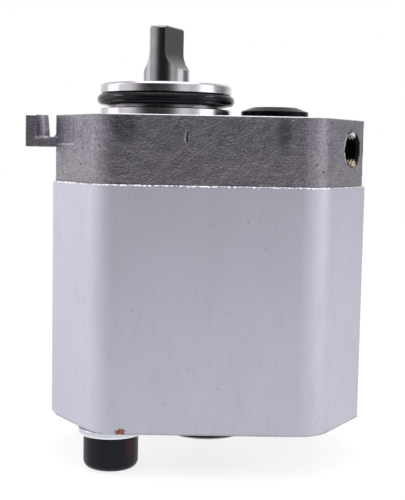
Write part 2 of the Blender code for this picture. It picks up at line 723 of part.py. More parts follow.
def make_cover(cast):
    cover = place("front_cover", cover_plate(), cast)
    join(cover, spigot(), lug())
    above = SPIGOT_HEIGHT + OVERCUT
    below = COVER_REAR - OVERCUT
    shaft_hole = SHAFT_RADIUS + SHAFT_BORE_CLEARANCE
    cut(cover, shaft_bores(shaft_hole, below, above))
    port = pressure_port()
    port_radius = PRESSURE_PORT_DIAMETER / 2
    cut(cover, drill("pressure_bore", port_radius, port, -PRESSURE_PORT_DEPTH, OVERCUT, BORE_SEGMENTS))
    drilling_end = Vector((*PRESSURE_DUCT, COVER_REAR))
    drilling_start = Vector((*port, -PRESSURE_PORT_DEPTH + PRESSURE_DRILLING_DIAMETER / 2))
    past_face = drilling_end + (drilling_end - drilling_start).normalized() * PRESSURE_DRILLING_DIAMETER
    radius = PRESSURE_DRILLING_DIAMETER / 2
    cut(cover, slanted_drill("pressure_drilling", radius, drilling_start, past_face))
    cut(cover, side_tapping(port))
    drain_start = Vector((0.0, -shaft_hole + DRAIN_DIAMETER / 2, COVER_REAR / 2))
    drain_end = Vector((0.0, -BORE_RADIUS + DRAIN_DIAMETER, COVER_REAR - OVERCUT))
    cut(cover, slanted_drill("drain", DRAIN_DIAMETER / 2, drain_start, drain_end, DRAIN_SEGMENTS))
    for i, at in enumerate(SCREW_PLACES):
        hole_top = HEAD_TOP + SCREW_LENGTH + SCREW_HOLE_SPARE
        radius = SCREW_DIAMETER / 2 + THREAD_CLEARANCE
        cut(cover, drill(f"cover_screw_hole_{i}", radius, at, below, hole_top))
    for i, at in enumerate(DOWEL_PLACES):
        roof = COVER_REAR + DOWEL_LENGTH / 2 + SEAT_GAP
        cut(cover, drill(f"cover_dowel_hole_{i}", DOWEL_DIAMETER / 2 + FIT_GAP, at, below, roof))


def shaft_bores(shaft_hole, below, above):
    """The stepped bore round the drive shaft: shaft hole, seal bore and the retaining ring's groove."""
    groove = SEAL_BORE_RADIUS + RING_GROOVE_DEPTH
    groove_floor = RING_BOTTOM - FIT_GAP
    groove_roof = RING_BOTTOM + RING_THICKNESS + FIT_GAP
    profile = [
        (0.0, above),
        (SEAL_BORE_RADIUS, above),
        (SEAL_BORE_RADIUS, groove_roof),
        (groove, groove_roof),
        (groove, groove_floor),
        (SEAL_BORE_RADIUS, groove_floor),
        (SEAL_BORE_RADIUS, SEAL_FLOOR),
        (shaft_hole, SEAL_FLOOR),
        (shaft_hole, below),
        (0.0, below),
    ]
    return place("shaft_bores", turned("shaft_bores", profile))


def side_tapping(port):
    """The gauge tapping from the corner cut to the pressure port, with the cone that opens its mouth."""
    mouth, out = chamfer_frame()
    core, rim = TAPPING_DIAMETER / 2, TAPPING_COUNTERSINK / 2
    reach = (mouth - Vector((*port, mouth.z))).length
    lift = OVERCUT / 2
    profile = [(0.0, lift), (rim + lift, lift), (core, core - rim), (core, -reach), (0.0, -reach)]
    tool = place("side_tapping", turned("side_tapping", profile, SMALL_SEGMENTS), at=mouth)
    tool.rotation_mode = "QUATERNION"
    tool.rotation_quaternion = Vector((0.0, 0.0, 1.0)).rotation_difference(out)
    return tool


# ---- Shaft seal, O-ring, retaining ring ----


def make_shaft_seals(rubber, steel):
    outer = SEAL_DIAMETER / 2
    lip = SHAFT_RADIUS + RUNNING_CLEARANCE
    top = SEAL_BOTTOM + SEAL_HEIGHT
    case_inner = outer - SEAL_WALL
    lip_outer = lip + SEAL_WALL
    lip_top = SEAL_BOTTOM + SEAL_LIP_REACH
    profile = [
        (outer, top),
        (outer, SEAL_BOTTOM),
        (case_inner, SEAL_BOTTOM),
        (case_inner, top - SEAL_WALL),
        (lip_outer, top - SEAL_WALL),
        (lip_outer, lip_top),
        (lip, lip_top),
        (lip, top),
    ]
    place("shaft_seal", turned("shaft_seal", profile, INNER_SEGMENTS), rubber)
    spring_radius = lip_outer + FIT_GAP + SPRING_CORD / 2
    spring_z = lip_top + SPRING_CORD / 2
    path = arc((0.0, 0.0), spring_radius, 0.0, math.tau, INNER_SEGMENTS)[:-1]
    place("seal_spring", corded("seal_spring", path, SPRING_CORD / 2, spring_z), steel)
    path = arc((0.0, 0.0), O_RING_RADIUS, 0.0, math.tau, BORE_SEGMENTS)[:-1]
    mesh = corded("spigot_o_ring", path, O_RING_CORD / 2, O_RING_Z)
    place("spigot_o_ring", mesh, rubber)
    outer = SEAL_BORE_RADIUS + RING_GROOVE_DEPTH - FIT_GAP
    opening = RING_OPENING / 2
    path = arc((0.0, 0.0), outer - RING_WIDTH / 2, opening, math.tau - opening, RING_PATH_SEGMENTS)
    outline = ribbon(path, -RING_WIDTH / 2, RING_WIDTH / 2)
    name = "seal_retaining_ring"
    place(name, prism(name, outline, RING_BOTTOM, RING_BOTTOM + RING_THICKNESS), steel)


# ---- Fasteners and plugs ----


def screw_mesh():
    """A socket-head screw along -Z from under its head, with its head's end rounded."""
    head, shank = SCREW_HEAD_DIAMETER / 2, SCREW_DIAMETER / 2
    rounding = SCREW_HEAD_ROUNDING
    rim_centre = (head - rounding, -SCREW_HEAD_HEIGHT + rounding)
    rim = arc(rim_centre, rounding, 0.0, -math.pi / 2, FILLET_SEGMENTS)
    profile = [
        (0.0, SCREW_LENGTH),
        (shank - SHAFT_CHAMFER, SCREW_LENGTH),
        (shank, SCREW_LENGTH - SHAFT_CHAMFER),
        (shank, 0.0),
        (head, 0.0),
    ]
    return turned("cap_screw", profile + rim + [(0.0, -SCREW_HEAD_HEIGHT)], SMALL_SEGMENTS)


def make_fasteners(black_steel, zinc, steel):
    mesh = screw_mesh()
    mesh.materials.append(black_steel)
    washer = WASHER_DIAMETER / 2
    washer_bore = SCREW_DIAMETER / 2 + SCREW_CLEARANCE
    washer_profile = [
        (washer, 0.0),
        (washer, -WASHER_THICKNESS),
        (washer_bore, -WASHER_THICKNESS),
        (washer_bore, 0.0),
    ]
    washer_mesh = turned("washer", washer_profile, SMALL_SEGMENTS)
    washer_mesh.materials.append(zinc)
    across_corners = SCREW_SOCKET_FLATS / math.sqrt(3)
    for letter, at in zip("ab", SCREW_PLACES):
        screw = place(f"cap_screw_{letter}", mesh, at=(*at, HEAD_TOP))
        end = HEAD_TOP - SCREW_HEAD_HEIGHT
        low, high = end - OVERCUT, end + SCREW_SOCKET_DEPTH
        cut(screw, drill(f"socket_{letter}", across_corners, at, low, high, 6))
        place(f"washer_{letter}", washer_mesh, at=(*at, WASHER_TOP))
    radius, half = DOWEL_DIAMETER / 2, DOWEL_LENGTH / 2
    dowel_profile = [
        (0.0, half),
        (radius - DOWEL_CHAMFER, half),
        (radius, half - DOWEL_CHAMFER),
        (radius, -half + DOWEL_CHAMFER),
        (radius - DOWEL_CHAMFER, -half),
        (0.0, -half),
    ]
    dowel_mesh = turned("dowel", dowel_profile, SMALL_SEGMENTS)
    dowel_mesh.materials.append(steel)
    for letter, at in zip("ab", DOWEL_PLACES):
        place(f"dowel_{letter}", dowel_mesh, at=(*at, (COVER_REAR + BODY_FRONT) / 2))


def plug_mesh(port_diameter, flange_diameter):
    """A push-in plug along -Z under its flange: hollow tapered stem with one ridge, and a low crown."""
    flange = flange_diameter / 2
    crown_top = PLUG_FLANGE_THICKNESS + PLUG_CROWN_HEIGHT
    stem = port_diameter / 2 - PLUG_RIDGE_HEIGHT - FIT_GAP
    hollow = stem - PLUG_STEM_WALL
    ridge = stem + PLUG_RIDGE_HEIGHT
    profile = [
        (0.0, crown_top),
        (flange - PLUG_CROWN_SHRINK, crown_top),
        (flange, PLUG_FLANGE_THICKNESS),
        (flange, 0.0),
        (stem, 0.0),
        (stem, -PLUG_RIDGE_DEPTH + PLUG_RIDGE_HALF_WIDTH),
        (ridge, -PLUG_RIDGE_DEPTH),
        (stem, -PLUG_RIDGE_DEPTH - PLUG_RIDGE_HALF_WIDTH),
        (stem - PLUG_STEM_TAPER, -PLUG_STEM_LENGTH),
        (hollow, -PLUG_STEM_LENGTH),
        (hollow, PLUG_FLANGE_THICKNESS / 2),
        (0.0, PLUG_FLANGE_THICKNESS / 2),
    ]
    return turned("transit_plug", profile, INNER_SEGMENTS)


def make_plugs(black_plastic):
    pressure_mesh = plug_mesh(PRESSURE_PORT_DIAMETER, PRESSURE_PLUG_DIAMETER)
    place("pressure_plug", pressure_mesh, black_plastic, (*pressure_port(), SEAT_GAP))
    suction_mesh = plug_mesh(SUCTION_PORT_DIAMETER, SUCTION_PLUG_DIAMETER)
    seat = BODY_REAR + SPOT_FACE_DEPTH - SEAT_GAP
    suction = place("suction_plug", suction_mesh, black_plastic, (*SUCTION_PORT, seat))
    suction.rotation_euler = Matrix.Rotation(math.pi, 3, "X").to_euler()


def main():
    clear_scene()
    cast = material("cast_grey", (0.22, 0.20, 0.22), 0.6, 1.0)
    aluminium = material("extruded_aluminium", (0.62, 0.62, 0.66), 0.45, 1.0)
    steel = material("ground_steel", (0.45, 0.44, 0.44), 0.3, 1.0)
    bronze = material("bearing_bronze", (0.50, 0.33, 0.14), 0.4, 1.0)
    rubber = material("black_rubber", (0.015, 0.015, 0.018), 0.3, 0.0)
    backup = material("backup_plastic", (0.75, 0.73, 0.66), 0.5, 0.0)
    black_steel = material("black_oxide", (0.02, 0.02, 0.03), 0.45, 0.6)
    zinc = material("bright_zinc", (0.65, 0.66, 0.70), 0.3, 1.0)
    black_plastic = material("black_plastic", (0.012, 0.012, 0.014), 0.35, 0.0)
    make_gears(steel)
    make_bearings(aluminium, bronze, rubber, backup)
    make_body(aluminium)
    make_cover(cast)
    make_cover_seal(rubber)
    make_shaft_seals(rubber, steel)
    make_fasteners(black_steel, zinc, steel)
    make_plugs(black_plastic)


main()
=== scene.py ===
"""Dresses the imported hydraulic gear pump: finer shapes, finishes, a plain stage and a camera.

Metres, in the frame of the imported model: +Z out along the drive shaft, the origin on the shaft's axis in
the mounting face of the cover, +X from the drive gear to the driven gear, -Y the suction side.
"""

import math

import bmesh
import bpy
from mathutils import Matrix, Vector, noise


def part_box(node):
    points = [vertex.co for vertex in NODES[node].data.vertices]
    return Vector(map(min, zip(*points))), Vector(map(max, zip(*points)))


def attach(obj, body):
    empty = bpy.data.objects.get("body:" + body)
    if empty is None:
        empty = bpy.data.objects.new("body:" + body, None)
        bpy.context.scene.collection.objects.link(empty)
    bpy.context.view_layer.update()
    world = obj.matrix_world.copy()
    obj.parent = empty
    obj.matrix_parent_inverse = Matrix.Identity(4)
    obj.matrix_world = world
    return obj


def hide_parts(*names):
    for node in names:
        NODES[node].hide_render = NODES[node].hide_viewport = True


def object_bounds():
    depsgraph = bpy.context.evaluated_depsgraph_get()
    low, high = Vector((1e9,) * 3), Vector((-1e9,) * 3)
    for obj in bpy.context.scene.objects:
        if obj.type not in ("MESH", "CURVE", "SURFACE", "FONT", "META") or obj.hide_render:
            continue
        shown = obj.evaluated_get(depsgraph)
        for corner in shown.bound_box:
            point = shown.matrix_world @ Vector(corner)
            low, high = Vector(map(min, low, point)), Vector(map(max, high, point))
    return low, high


bl_info = {
    "name": "Hydraulic gear pump",
    "version": (1, 0, 0),
    "blender": (4, 5, 0),
    "location": "3D View > Sidebar > Gear pump",
    "description": "Builds a gear pump with a cast cover, an extruded body, a tang shaft and transit plugs",
    "category": "Add Mesh",
}

MM = 0.001
MERGE_DISTANCE = 1e-7
SMOOTH_ANGLE = math.radians(32.0)

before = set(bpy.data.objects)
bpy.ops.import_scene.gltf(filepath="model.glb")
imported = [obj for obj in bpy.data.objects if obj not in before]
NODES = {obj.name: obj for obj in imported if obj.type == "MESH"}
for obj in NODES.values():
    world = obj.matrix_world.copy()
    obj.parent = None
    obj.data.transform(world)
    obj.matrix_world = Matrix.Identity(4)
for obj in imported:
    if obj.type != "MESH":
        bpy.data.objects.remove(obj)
CAD_LOW, CAD_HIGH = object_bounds()
COVER_LOW, COVER_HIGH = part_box("front_cover")
BODY_LOW, BODY_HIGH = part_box("pump_body")
SHAFT_LOW, SHAFT_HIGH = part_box("drive_gear")
IDLER_LOW, IDLER_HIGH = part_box("driven_gear")
RING_LOW, RING_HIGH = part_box("spigot_o_ring")
SEAL_LOW, SEAL_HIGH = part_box("shaft_seal")
CLIP_LOW, CLIP_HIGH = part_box("seal_retaining_ring")
SCREW_LOW, SCREW_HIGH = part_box("cap_screw_a")
WASHER_LOW, WASHER_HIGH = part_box("washer_a")
REAR_PLUG_LOW, REAR_PLUG_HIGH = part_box("suction_plug")

BODY_MIDDLE = (BODY_LOW + BODY_HIGH) / 2
IDLER_X = (IDLER_LOW.x + IDLER_HIGH.x) / 2
MIDWAY = IDLER_X / 2

# How far a cutting tool runs past a face
OVERCUT = 1.0 * MM
# Gaps between touching faces, at seats, round pins and rings, and round the gears and the cover's seal
FACE_GAP = 0.03 * MM
SEAT_GAP = 0.2 * MM
CLEARANCE = 0.15 * MM
TIP_CLEARANCE = 0.25 * MM
# Shared places and radii
TEETH_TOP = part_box("front_bearing_block")[0].z - SEAT_GAP
TEETH_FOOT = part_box("rear_bearing_block")[1].z + SEAT_GAP
SHAFT_RADIUS = 7 * MM
PRESSURE_PORT_RADIUS = 8.3 * MM
SUCTION_PORT_RADIUS = 10.5 * MM
OUTLET_Y = 12.5 * MM


def centre_of(node):
    low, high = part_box(node)
    return (low + high) / 2


def length(name, description, default):
    return bpy.props.FloatProperty(
        name=name, description=description, default=default, unit="LENGTH", subtype="DISTANCE"
    )


def colour(name, description, default):
    return bpy.props.FloatVectorProperty(
        name=name, description=description, default=default, subtype="COLOR", size=3, min=0.0, max=1.0
    )


def power(name, description, default):
    return bpy.props.FloatProperty(name=name, description=description, default=default, min=0.0, unit="POWER")


def angle(name, description, default):
    return bpy.props.FloatProperty(name=name, description=description, default=default, subtype="ANGLE")


class PumpSizes(bpy.types.PropertyGroup):
    """Sizes of the outer shape that a user would change."""

    corner_cut_side: length("Corner cut, side", "How far each corner cut runs along X", 15.25 * MM)
    corner_cut_front: length("Corner cut, front", "How far each corner cut runs along Y", 24.3 * MM)
    front_radius: length("Front radius", "Rounding between the front and a corner cut", 11 * MM)
    side_radius: length("Side radius", "Rounding between a side and a corner cut", 0.8 * MM)
    cover_inset: length("Cover inset", "How far the cover stands back from the body", 0.8 * MM)
    cover_chamfer: length("Cover chamfer", "Width of the edge round the mounting face", 0.2 * MM)
    burr_height: length("Burr height", "Height of the ragged edge at the body's front", 0.42 * MM)
    spigot_diameter: length("Spigot diameter", "Diameter of the pilot", 40 * MM)
    thread_pitch: length("Thread pitch", "Pitch of the thread in the side tapping", 0.907 * MM)


class PumpColours(bpy.types.PropertyGroup):
    """Base colours of the finishes."""

    cast_iron: colour("Cast iron", "Cover as cast", (0.238, 0.222, 0.264))
    machined: colour("Machined iron", "Turned and milled faces of the cover", (0.66, 0.64, 0.69))
    aluminium: colour("Aluminium", "Satin body and bearing blocks", (0.58, 0.572, 0.662))
    burr: colour("Sawn edge", "Bright ragged edge at the body's front", (0.90, 0.90, 0.93))
    shaft_steel: colour("Shaft steel", "Ground and hardened steel", (0.36, 0.352, 0.376))
    rubber: colour("Rubber", "O-ring and seals", (0.004, 0.0045, 0.007))
    black_plastic: colour("Black plastic", "Transit plugs", (0.005, 0.005, 0.008))
    black_oxide: colour("Black oxide", "Cap screws", (0.008, 0.009, 0.015))
    zinc: colour("Zinc", "Washers", (0.72, 0.73, 0.80))
    bronze: colour("Bronze", "Bushes", (0.52, 0.34, 0.15))
    backup: colour("Backup plastic", "Strips beside the pressure seals", (0.72, 0.70, 0.62))
    paint: colour("Paint mark", "Inspector's dab across the screw and the body", (0.42, 0.065, 0.03))


class PumpStage(bpy.types.PropertyGroup):
    """Light and camera."""

    side_power: power("Side lamps", "Power of each soft lamp at the sides", 1.05)
    high_power: power("High lamps", "Power of each narrow lamp high at the sides", 0.9)
    top_power: power("Top lamp", "Power of the soft lamp overhead", 1.7)
    lens: bpy.props.FloatProperty(
        name="Lens",
        description="Focal length of the camera",
        default=76.98,
        min=1.0,
        unit="CAMERA",
    )
    camera_place: bpy.props.FloatVectorProperty(
        name="Camera place",
        description="Where the camera stands",
        default=(0.005585, -0.330671, -0.009889),
        subtype="XYZ",
        unit="LENGTH",
    )
    pitch: angle("Pitch", "How far the camera looks down", 0.0924)
    yaw: angle("Yaw", "How far the camera turns towards +X", 0.0195)
    roll: angle("Roll", "How far the camera leans", 0.019)


# ---- Mesh tools ----


def link(name, data):
    obj = bpy.data.objects.new(name, data)
    bpy.context.scene.collection.objects.link(obj)
    return obj


def mesh_from(bm, name):
    """Closes the bmesh into a mesh whose faces point out."""
    bmesh.ops.remove_doubles(bm, verts=bm.verts, dist=MERGE_DISTANCE)
    bmesh.ops.recalc_face_normals(bm, faces=bm.faces)
    mesh = bpy.data.meshes.new(name)
    bm.to_mesh(mesh)
    bm.free()
    return mesh


def loft(name, rings, closed=False):
    """A closed solid through rings of points, each with as many points as the next."""
    bm = bmesh.new()
    loops = [[bm.verts.new(point) for point in ring] for ring in rings]
    count = len(loops[0])
    following = loops[1:] + loops[:1] if closed else loops[1:]
    for low, high in zip(loops, following):
        for i in range(count):
            j = (i + 1) % count
            bm.faces.new((low[i], low[j], high[j], high[i]))
    if not closed:
        bm.faces.new(list(reversed(loops[0])))
        bm.faces.new(loops[-1])
    return link(name, mesh_from(bm, name))


def prism(name, outline, bottom, top):
    return loft(name, [[(x, y, z) for x, y in outline] for z in (bottom, top)])


def aim(obj, at, along):
    """Moves a mesh built about +Z to a place and turns it to point along an axis."""
    way = Vector((0.0, 0.0, 1.0)).rotation_difference(Vector(along)).to_matrix().to_4x4()
    obj.data.transform(Matrix.Translation(at) @ way)
    return obj


def turned(name, profile, segments=96, at=(0.0, 0.0, 0.0), along=(0.0, 0.0, 1.0)):
    """A solid of revolution from a chain of (radius, height), which is closed unless it ends on the axis."""
    on_axis = profile[0][0] == 0.0 and profile[-1][0] == 0.0
    round_part = profile[1:-1] if on_axis else profile
    turns = [math.tau * k / segments for k in range(segments)]
    rings = [[(r * math.cos(t), r * math.sin(t), z) for t in turns] for r, z in round_part]
    return aim(loft(name, rings, closed=not on_axis), at, along)


def drill(name, at, radius, low, high, segments, point=0.0):
    """An upright round drill between two heights, whose top is a cone of the length of its point."""
    profile = [(0.0, high), (radius, high - point), (radius, low), (0.0, low)]
    return turned(name, profile, segments, (at.x, at.y, 0.0))


def apply_modifiers(obj):
    bpy.context.view_layer.update()
    made = bpy.data.meshes.new_from_object(obj.evaluated_get(bpy.context.evaluated_depsgraph_get()))
    obj.modifiers.clear()
    old = obj.data
    obj.data = made
    bpy.data.meshes.remove(old)


def combine(obj, tools, operation):
    """Cuts the tools from obj, or joins them to it, and removes the tools."""
    for tool in tools:
        step = obj.modifiers.new(tool.name, "BOOLEAN")
        step.operation = operation
        step.solver = "EXACT"
        step.object = tool
    apply_modifiers(obj)
    for tool in tools:
        mesh = tool.data
        bpy.data.objects.remove(tool)
        bpy.data.meshes.remove(mesh)
    return obj


def cut(obj, *tools):
    return combine(obj, tools, "DIFFERENCE")


def join(obj, *tools):
    return combine(obj, tools, "UNION")


def arc(centre, radius, start, end, steps):
    """Points on an arc, with both ends."""
    turns = [start + (end - start) * i / steps for i in range(steps + 1)]
    return [(centre[0] + radius * math.cos(t), centre[1] + radius * math.sin(t)) for t in turns]


def shade(obj):
    """Smooth faces that follow the larger face at each corner, with the steep edges kept sharp."""
    bm = bmesh.new()
    bm.from_mesh(obj.data)
    bmesh.ops.remove_doubles(bm, verts=bm.verts, dist=MERGE_DISTANCE)
    for edge in bm.edges:
        edge.smooth = edge.is_manifold and edge.calc_face_angle() < SMOOTH_ANGLE
    for face in bm.faces:
        face.smooth = True
    bm.to_mesh(obj.data)
    bm.free()
    weighted = obj.modifiers.new("weighted_normals", "WEIGHTED_NORMAL")
    weighted.mode = "FACE_AREA"
    weighted.keep_sharp = True
    apply_modifiers(obj)
    return obj


def dress(obj, body, nodes, finishes, choose=None):
    """Gives obj its finishes and body, and hides the CAD nodes that it stands for."""
    shade(obj)
    obj.data.materials.clear()
    for finish in finishes:
        obj.data.materials.append(finish)
    for face in obj.data.polygons:
        face.material_index = choose(face) if choose else 0
    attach(obj, body)
    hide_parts(*nodes)
    return obj


def refinish(finish, *nodes):
    """Gives CAD nodes that keep their shape a finish."""
    for node in nodes:
        NODES[node].data.materials.clear()
        NODES[node].data.materials.append(finish)


# ---- Finishes ----


class Nodes:
    """Short ways to add nodes to a tree and to wire them."""

    def __init__(self, tree):
        self.tree = tree

    def add(self, kind, **settings):
        node = self.tree.nodes.new(kind)
        for key, value in settings.items():
            setattr(node, key, value)
        return node

    def wire(self, value, socket):
        """Wires an output to a socket, or writes a plain value into it."""
        if isinstance(value, bpy.types.NodeSocket):
            self.tree.links.new(value, socket)
        else:
            socket.default_value = value

    def maths(self, operation, first, second=0.0):
        node = self.add("ShaderNodeMath", operation=operation)
        self.wire(first, node.inputs[0])
        self.wire(second, node.inputs[1])
        return node.outputs[0]

    def product(self, *values):
        result = values[0]
        for value in values[1:]:
            result = self.maths("MULTIPLY", result, value)
        return result

    def most(self, *values):
        """The largest of several values."""
        result = values[0]
        for value in values[1:]:
            result = self.maths("MAXIMUM", result, value)
        return result

    def ramp(self, value, stops):
        """A grey that follows (position, grey) stops."""
        node = self.add("ShaderNodeValToRGB")
        self.wire(value, node.inputs[0])
        elements = node.color_ramp.elements
        for element, (position, grey) in zip(list(elements), (stops[0], stops[-1])):
            element.position, element.color = position, (grey, grey, grey, 1.0)
        for position, grey in stops[1:-1]:
            elements.new(position).color = (grey, grey, grey, 1.0)
        return node.outputs[0]

    def mix_shaders(self, factor, first, second):
        node = self.add("ShaderNodeMixShader")
        self.wire(factor, node.inputs[0])
        self.wire(first.outputs[0], node.inputs[1])
        self.wire(second.outputs[0], node.inputs[2])
        return node

    def show(self, shader, kind):
        """Wires a shader to the output of a material or a world."""
        self.wire(shader.outputs[0], self.add(f"ShaderNodeOutput{kind}").inputs["Surface"])


def tinted(base, red, green, blue):
    return (min(1.0, base[0] * red), min(1.0, base[1] * green), min(1.0, base[2] * blue))


def scaled(base, factor):
    return tinted(base, factor, factor, factor)


class Finish(Nodes):
    """A procedural material. Its patterns and places are in millimetres of the piece's own space."""

    def __init__(self, name, base, roughness, metallic):
        self.material = bpy.data.materials.new(name)
        self.material.use_nodes = True
        super().__init__(self.material.node_tree)
        self.base = self.tone = tuple(base)
        self.material.diffuse_color = (*self.base, 1.0)
        self.shader = self.tree.nodes["Principled BSDF"]
        self.shader.inputs["Base Color"].default_value = (*self.base, 1.0)
        self.shader.inputs["Roughness"].default_value = roughness
        self.shader.inputs["Metallic"].default_value = metallic
        coordinates = self.add("ShaderNodeTexCoord")
        millimetres = self.add("ShaderNodeVectorMath", operation="SCALE")
        millimetres.inputs["Scale"].default_value = 1 / MM
        self.wire(coordinates.outputs["Object"], millimetres.inputs[0])
        self.place = millimetres.outputs[0]
        split = self.add("ShaderNodeSeparateXYZ")
        self.wire(self.place, split.inputs[0])
        self.x, self.y, self.z = split.outputs

    # Patterns

    def patterned(self, kind, size, stretch, shift):
        """A texture whose scale is size millimetres, drawn out by stretch and moved by shift."""
        mapping = self.add("ShaderNodeMapping")
        mapping.inputs["Scale"].default_value = [1.0 / (size * s) for s in stretch]
        mapping.inputs["Location"].default_value = (shift, shift, shift)
        self.wire(self.place, mapping.inputs[0])
        node = self.add(kind)
        node.inputs["Scale"].default_value = 1.0
        self.wire(mapping.outputs[0], node.inputs["Vector"])
        return node

    def noise(self, size, detail=3.0, stretch=(1.0, 1.0, 1.0), roughness=0.5, shift=0.0):
        """Noise whose grain is about size millimetres."""
        node = self.patterned("ShaderNodeTexNoise", size, stretch, shift)
        node.inputs["Detail"].default_value = detail
        node.inputs["Roughness"].default_value = roughness
        return node.outputs["Fac"]

    def cells(self, size, shift=0.0):
        """Distance to scattered points about size millimetres apart."""
        return self.patterned("ShaderNodeTexVoronoi", size, (1.0, 1.0, 1.0), shift).outputs["Distance"]

    def wave(self, value, pitch):
        return self.maths("SINE", self.maths("MULTIPLY", value, math.tau / pitch))

    # Masks, from 0 to 1

    def range(self, value, low, high, to_low=0.0, to_high=1.0):
        """Maps low..high to to_low..to_high, and stops at the ends."""
        node = self.add("ShaderNodeMapRange", clamp=True)
        self.wire(value, node.inputs["Value"])
        for socket, number in zip(("From Min", "From Max", "To Min", "To Max"), (low, high, to_low, to_high)):
            node.inputs[socket].default_value = number
        return node.outputs["Result"]

    def band(self, value, low, high, soft):
        """1 between low and high, falling to 0 across soft."""
        rise, fall = self.range(value, low - soft, low), self.range(value, high, high + soft, 1.0, 0.0)
        return self.product(rise, fall)

    def spot(self, at, reach, soft):
        """1 inside an ellipsoid about a place, falling to 0 across soft."""
        squeezed = self.vector("DIVIDE", self.vector("SUBTRACT", self.place, at), reach)
        return self.range(self.vector("LENGTH", squeezed), 1.0 - soft, 1.0 + soft, 1.0, 0.0)

    # Distances

    def vector(self, operation, first, second=(0.0, 0.0, 0.0)):
        node = self.add("ShaderNodeVectorMath", operation=operation)
        self.wire(first, node.inputs[0])
        self.wire(second, node.inputs[1])
        return node.outputs["Value" if operation == "LENGTH" else "Vector"]

    def from_line(self, at, axis):
        """Distance from a line through a place."""
        offset = self.vector("SUBTRACT", self.place, at)
        return self.vector("LENGTH", self.vector("CROSS_PRODUCT", offset, axis))

    def radius(self, x=0.0, y=0.0):
        """Distance from an upright axis."""
        across, along = self.maths("SUBTRACT", self.x, x), self.maths("SUBTRACT", self.y, y)
        squares = self.maths("ADD", self.maths("POWER", across, 2.0), self.maths("POWER", along, 2.0))
        return self.maths("SQRT", squares)

    # Colour and relief

    def blend(self, factor, first, second):
        """A colour between two colours."""
        node = self.add("ShaderNodeMix", data_type="RGBA")
        self.wire(factor, node.inputs["Factor"])
        for socket, value in ((node.inputs[6], first), (node.inputs[7], second)):
            self.wire((*value, 1.0) if isinstance(value, tuple) else value, socket)
        return node.outputs[2]

    def vary(self, factor, dark, light):
        """Starts the colour, between the base colour times dark and times light."""
        self.tone = self.blend(factor, scaled(self.base, dark), scaled(self.base, light))

    def lay(self, mask, tone):
        """Lays a colour over what is there. A number stands for the base colour times that number."""
        over = tone if isinstance(tone, tuple) else scaled(self.base, tone)
        self.tone = self.blend(mask, self.tone, over)

    def bump(self, height, depth, under=None):
        """Relief of depth millimetres."""
        node = self.add("ShaderNodeBump")
        node.inputs["Distance"].default_value = depth * MM
        self.wire(height, node.inputs["Height"])
        if under is not None:
            self.wire(under, node.inputs["Normal"])
        return node.outputs[0]

    def made(self, roughness, relief):
        """Wires the colour, the roughness and the relief, and hands over the material."""
        for socket, value in (("Base Color", self.tone), ("Roughness", roughness), ("Normal", relief)):
            self.wire(value, self.shader.inputs[socket])
        return self.material


# Marks on the pieces: middle, reach along X, Y and Z, and softness
OIL_STAINS = (((-10.8, -33.2, -3.4), (3.3, 3.0, 4.2), 0.3), ((33.6, -33.2, -4.6), (1.9, 3.0, 5.0), 0.35))
SCRATCH = ((-26.4, -19.0, -3.6), (0.22, 2.0, 3.8), 0.4)
# A slit in the casting: painted shade inside it, and a painted highlight on its rim
SHADED_SLIT = ((6.5, -33.2, -6.35), (0.26, 1.5, 1.75), 0.35)
SLIT_RIM_HIGHLIGHT = ((6.05, -33.2, -6.3), (0.34, 1.5, 1.5), 0.35)
TORN_RIM = ((52.0, -21.2, -8.2), (2.0, 3.4, 5.2), 0.25)
UPPER_CHIP = ((54.8, -13.8, -4.5), (1.3, 2.4, 1.3), 0.35)
LOWER_CHIP = ((55.1, -13.4, -12.8), (1.3, 2.6, 1.3), 0.35)
PAINT_DAB = ((-10.95, -34.0, -89.5), (1.5, 2.0, 1.0), 0.25)
PAINT_SMEAR = ((-8.5, -31.0, -95.2), (0.9, 3.2, 3.9), 0.5)
# Lines that the mould left on the cover, drawn as dashes of painted highlight: heights, then reach along X,
# each with its softness
PARTING_LINE = ((-8.75, -8.52, 0.08), (-32.6, -26.4, 0.5))
LUG_FLASH = ((-7.0, -6.45, 0.12), (-38.6, -32.2, 0.3))


